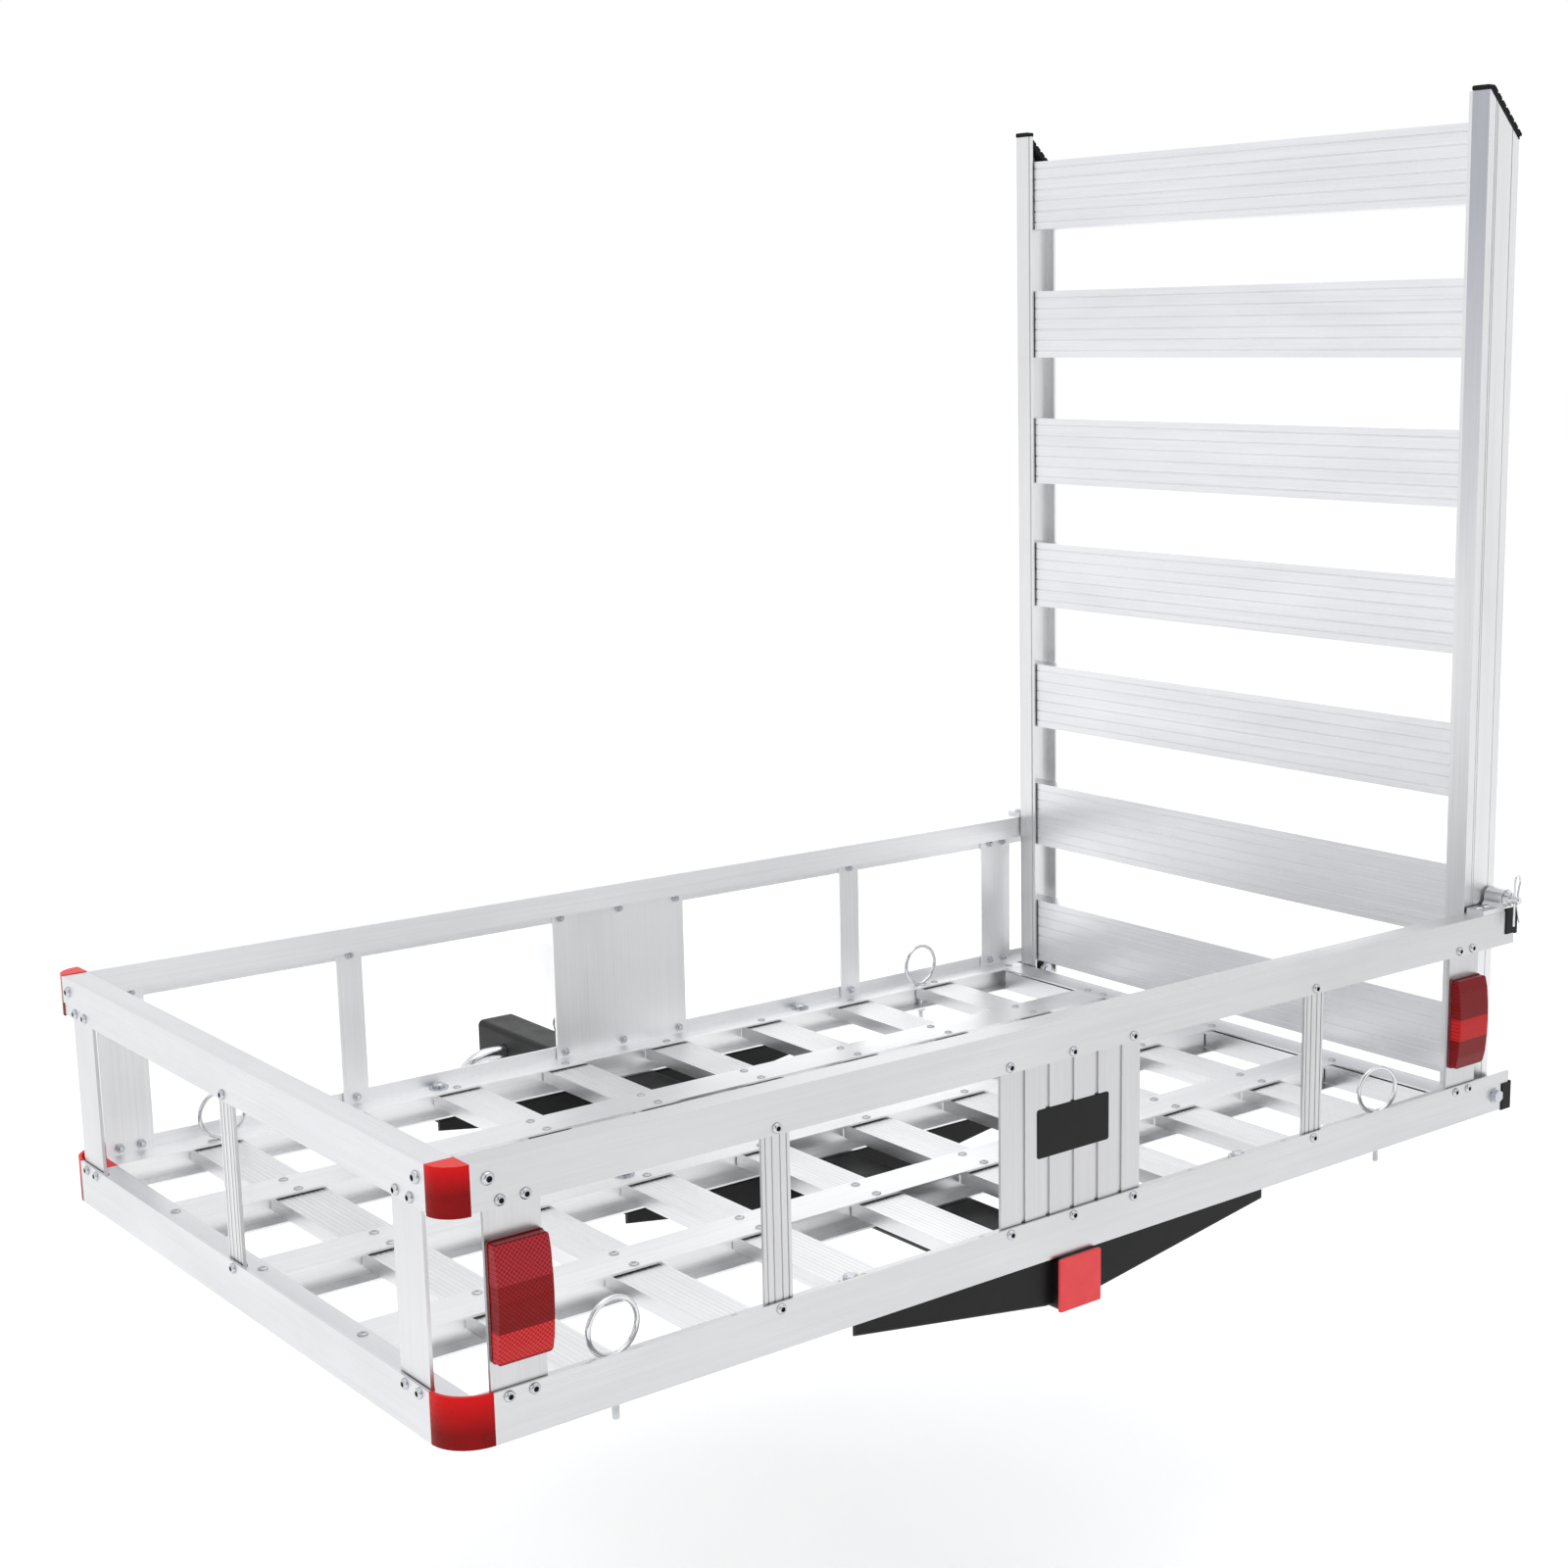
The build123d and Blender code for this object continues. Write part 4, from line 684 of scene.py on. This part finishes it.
# hairpin clips as smooth bent wire
def clip_path(cx, cy, cz, hole_r, wire, up, down, loop, ax):
    off = hole_r + wire + 0.35
    raw = [(0, -down), (0, -down * 0.5), (0, up * 0.35), (0, up * 0.85), (loop * 0.28, up + loop * 0.75), (loop, up + loop * 1.08),
           (loop * 1.72, up + loop * 0.75), (loop * 1.98, up * 0.92), (off + 1.6, up * 0.62), (off + 0.25, up * 0.28),
           (off + 0.05, 0.0), (off - 0.7, -hole_r * 0.8), (off - 1.8, -hole_r * 1.5), (off - 0.6, -hole_r * 2.3), (off + 2.6, -down * 0.72),
           (off + 4.4, -down * 0.9)]
    return smooth_path([M(cx, cy, cz) + ax * (a / 1000.0) + Vector((0, 0, b / 1000.0)) for a, b in raw], 8)


for nm, y in (("near", -9.4), ("far", WID + 9.4)):
    cs = Soup()
    tube(cs, clip_path(1256.0, y, 237.0, 4.0, 1.25, 21.0, 29.0, 4.6, Vector((1, 0, 0))), 1.25, 14)
    cs.piece("latch_clip_wire_" + nm, ["bright"], "latch_clip_" + nm, "bright_zinc", ("latch_clip_" + nm,))
cs = Soup()
HOLE_X = 626.0 + 25.4 + 27.0
tube(cs, clip_path(HOLE_X, 1010.0, OZ, 7.9, 1.8, 18.0, 34.0, 7.0, Vector((0, 1, 0))), 1.8, 14)
cs.piece("hitch_clip_wire", ["bright"], "hitch_pin_clip", "bright_zinc", ("hitch_pin_clip",))

# plain label plate with round corners and a stepped rim
lb = Soup()


def round_rect(x0, x1, z0, z1, r, y, n=6):
    pts = []
    for cx_, cz_, a0 in ((x1 - r, z1 - r, 0), (x0 + r, z1 - r, 90), (x0 + r, z0 + r, 180), (x1 - r, z0 + r, 270)):
        for i in range(n + 1):
            a = math.radians(a0 + 90 * i / n)
            pts.append(M(cx_ + r * math.cos(a), y, cz_ + r * math.sin(a)))
    return pts


YL = 2.5 + 0.8
a0 = round_rect(581.5, 669.5, 98.0, 144.0, 2.5, YL)
a1 = round_rect(581.5, 669.5, 98.0, 144.0, 2.5, YL - 0.45)
a2 = round_rect(581.7, 669.3, 98.2, 143.8, 2.3, YL - 0.55)
a3 = round_rect(583.0, 668.0, 99.5, 142.5, 1.6, YL - 0.55)
a4 = round_rect(583.0, 668.0, 99.5, 142.5, 1.6, YL - 0.58)
n_ = len(a0)
vs_ = a0 + a1 + a2 + a3 + a4
fs_, mi_ = [], []
for k in range(4):
    for i in range(n_):
        j = (i + 1) % n_
        fs_.append((k * n_ + i, k * n_ + j, (k + 1) * n_ + j, (k + 1) * n_ + i))
lb.add(vs_, fs_, 0)
lb.add(a4, [tuple(range(n_))], 0)
lb.piece("label_plate", ["label"], "carrier", "label_black", ("panel_label",))

# weld beads where the beam wings meet the shank
wb = Soup()
for y0 in (4.3, 366.0, 743.0):
    for sg in (-1, 1):
        x = 626.0 + sg * 25.4
        pts = []
        for i in range(34):
            z = -44.0 + 38.0 * i / 33
            pts.append(M(x + sg * 0.8, y0 + 5.6 + 0.35 * math.sin(i * 1.9), z))
        tube(wb, pts, 2.0, 8)
        pts = [M(x + sg * 0.9 + 0.0, y0 + 6.0 + 26.0 * i / 23, -5.2 + 0.3 * math.sin(i * 2.1)) for i in range(24)]
        tube(wb, pts, 1.8, 8)
wb.piece("weld_beads", ["black_steel"], "carrier", "black_coated_steel")

# ------------------------------------------------------------------ stage, light, camera
def plane(name, size, loc):
    me = bpy.data.meshes.new(name)
    s = size / 2
    me.from_pydata([(-s, -s, 0), (s, -s, 0), (s, s, 0), (-s, s, 0)], [], [(0, 1, 2, 3)])
    o = bpy.data.objects.new(name, me)
    o.location = loc
    scene.collection.objects.link(o)
    return o


fl = plane("floor", 60.0, (0, 0, -0.41))
fm, fnt, fbs = new_mat("floor_pale")
fv = coords(fnt, (1, 1, 1))
fn = noise(fnt, fv, 3.0, 3.0, 0.5)
fnt.links.new(ramp(fnt, fn, [(0.3, g(0.88)), (0.7, g(0.90))]), fbs.inputs["Base Color"])
fbs.inputs["Emission Color"].default_value = (1.0, 1.0, 1.0, 1.0)
fbs.inputs["Emission Strength"].default_value = 0.22
fbs.inputs["Roughness"].default_value = 0.75
fl.data.materials.append(fm)

w = bpy.data.worlds.new("studio")
scene.world = w
w.use_nodes = True
wn = w.node_tree
wn.nodes.clear()
wo = wn.nodes.new("ShaderNodeOutputWorld")
tc = wn.nodes.new("ShaderNodeTexCoord")


def toward(direction, lo, hi):
    """1 where the direction of view is near the given one, 0 away from it."""
    d = wn.nodes.new("ShaderNodeVectorMath"); d.operation = "DOT_PRODUCT"
    wn.links.new(tc.outputs["Generated"], d.inputs[0])
    d.inputs[1].default_value = tuple(Vector(direction).normalized())
    m = wn.nodes.new("ShaderNodeMapRange"); m.interpolation_type = "SMOOTHSTEP"
    m.inputs["From Min"].default_value = lo
    m.inputs["From Max"].default_value = hi
    wn.links.new(d.outputs["Value"], m.inputs["Value"])
    return m.outputs[0]


def wmix(fac, a, b):
    m = wn.nodes.new("ShaderNodeMix"); m.data_type = "FLOAT"
    wn.links.new(fac, m.inputs[0])
    for sock, v in ((m.inputs[2], a), (m.inputs[3], b)):
        if isinstance(v, float):
            sock.default_value = v
        else:
            wn.links.new(v, sock)
    return m.outputs[0]


# bright studio with a dark area behind the viewer, for edges in the metal
lev = wmix(toward((-0.66, -0.72, 0.30), 0.74, 0.94), 1.02, 0.14)
bg = wn.nodes.new("ShaderNodeBackground")
bg.inputs[0].default_value = (0.985, 0.99, 1.0, 1.0)
wn.links.new(lev, bg.inputs[1])
bgc = wn.nodes.new("ShaderNodeBackground")
bgc.inputs[0].default_value = (1.0, 1.0, 1.0, 1.0)
bgc.inputs[1].default_value = 1.0
lp = wn.nodes.new("ShaderNodeLightPath")
ms = wn.nodes.new("ShaderNodeMixShader")
wn.links.new(lp.outputs["Is Camera Ray"], ms.inputs[0])
wn.links.new(bg.outputs[0], ms.inputs[1])
wn.links.new(bgc.outputs[0], ms.inputs[2])
wn.links.new(ms.outputs[0], wo.inputs[0])


def area(name, loc, target, size, power, color=(1, 1, 1)):
    l = bpy.data.lights.new(name, "AREA")
    l.shape = "RECTANGLE"
    l.size, l.size_y = size
    l.energy = power
    l.color = color
    o = bpy.data.objects.new(name, l)
    o.location = loc
    d = Vector(target) - Vector(loc)
    o.rotation_euler = d.to_track_quat("-Z", "Y").to_euler()
    scene.collection.objects.link(o)
    return o


area("key_top", (0.2, -0.8, 3.2), (0, -0.5, 0), (3.5, 3.0), 30)
area("left_front", (-3.0, -2.6, 1.6), (0, -0.6, 0.2), (2.4, 2.4), 20)
area("right_back", (2.8, 1.8, 1.8), (0.2, -0.5, 0.3), (2.0, 2.4), 7)

R0 = Vector((0.73619884, -0.67675807, 0.00312829))
R1 = Vector((-0.12810031, -0.14388745, -0.98126791))
R2 = Vector((0.66453109, 0.72200756, -0.19262269))
cam = bpy.data.cameras.new("camera")
cam.sensor_fit = "HORIZONTAL"
cam.sensor_width = 36.0
cam.lens = 2401.9467 / 1600.0 * 36.0
cam.shift_x = (800.0 - 1105.982) / 1600.0
cam.shift_y = (844.299 - 800.0) / 1600.0
cam.clip_start = 0.05
cam.clip_end = 100.0
co = bpy.data.objects.new("camera", cam)
rot = Matrix((R0, -R1, -R2)).transposed()
co.matrix_world = Matrix.Translation(M(-758.00, -1512.95, 800.18)) @ rot.to_4x4()
scene.collection.objects.link(co)
scene.camera = co

scene.view_settings.view_transform = "Standard"
scene.view_settings.look = "None"
scene.view_settings.exposure = 0.0

bpy.context.view_layer.update()
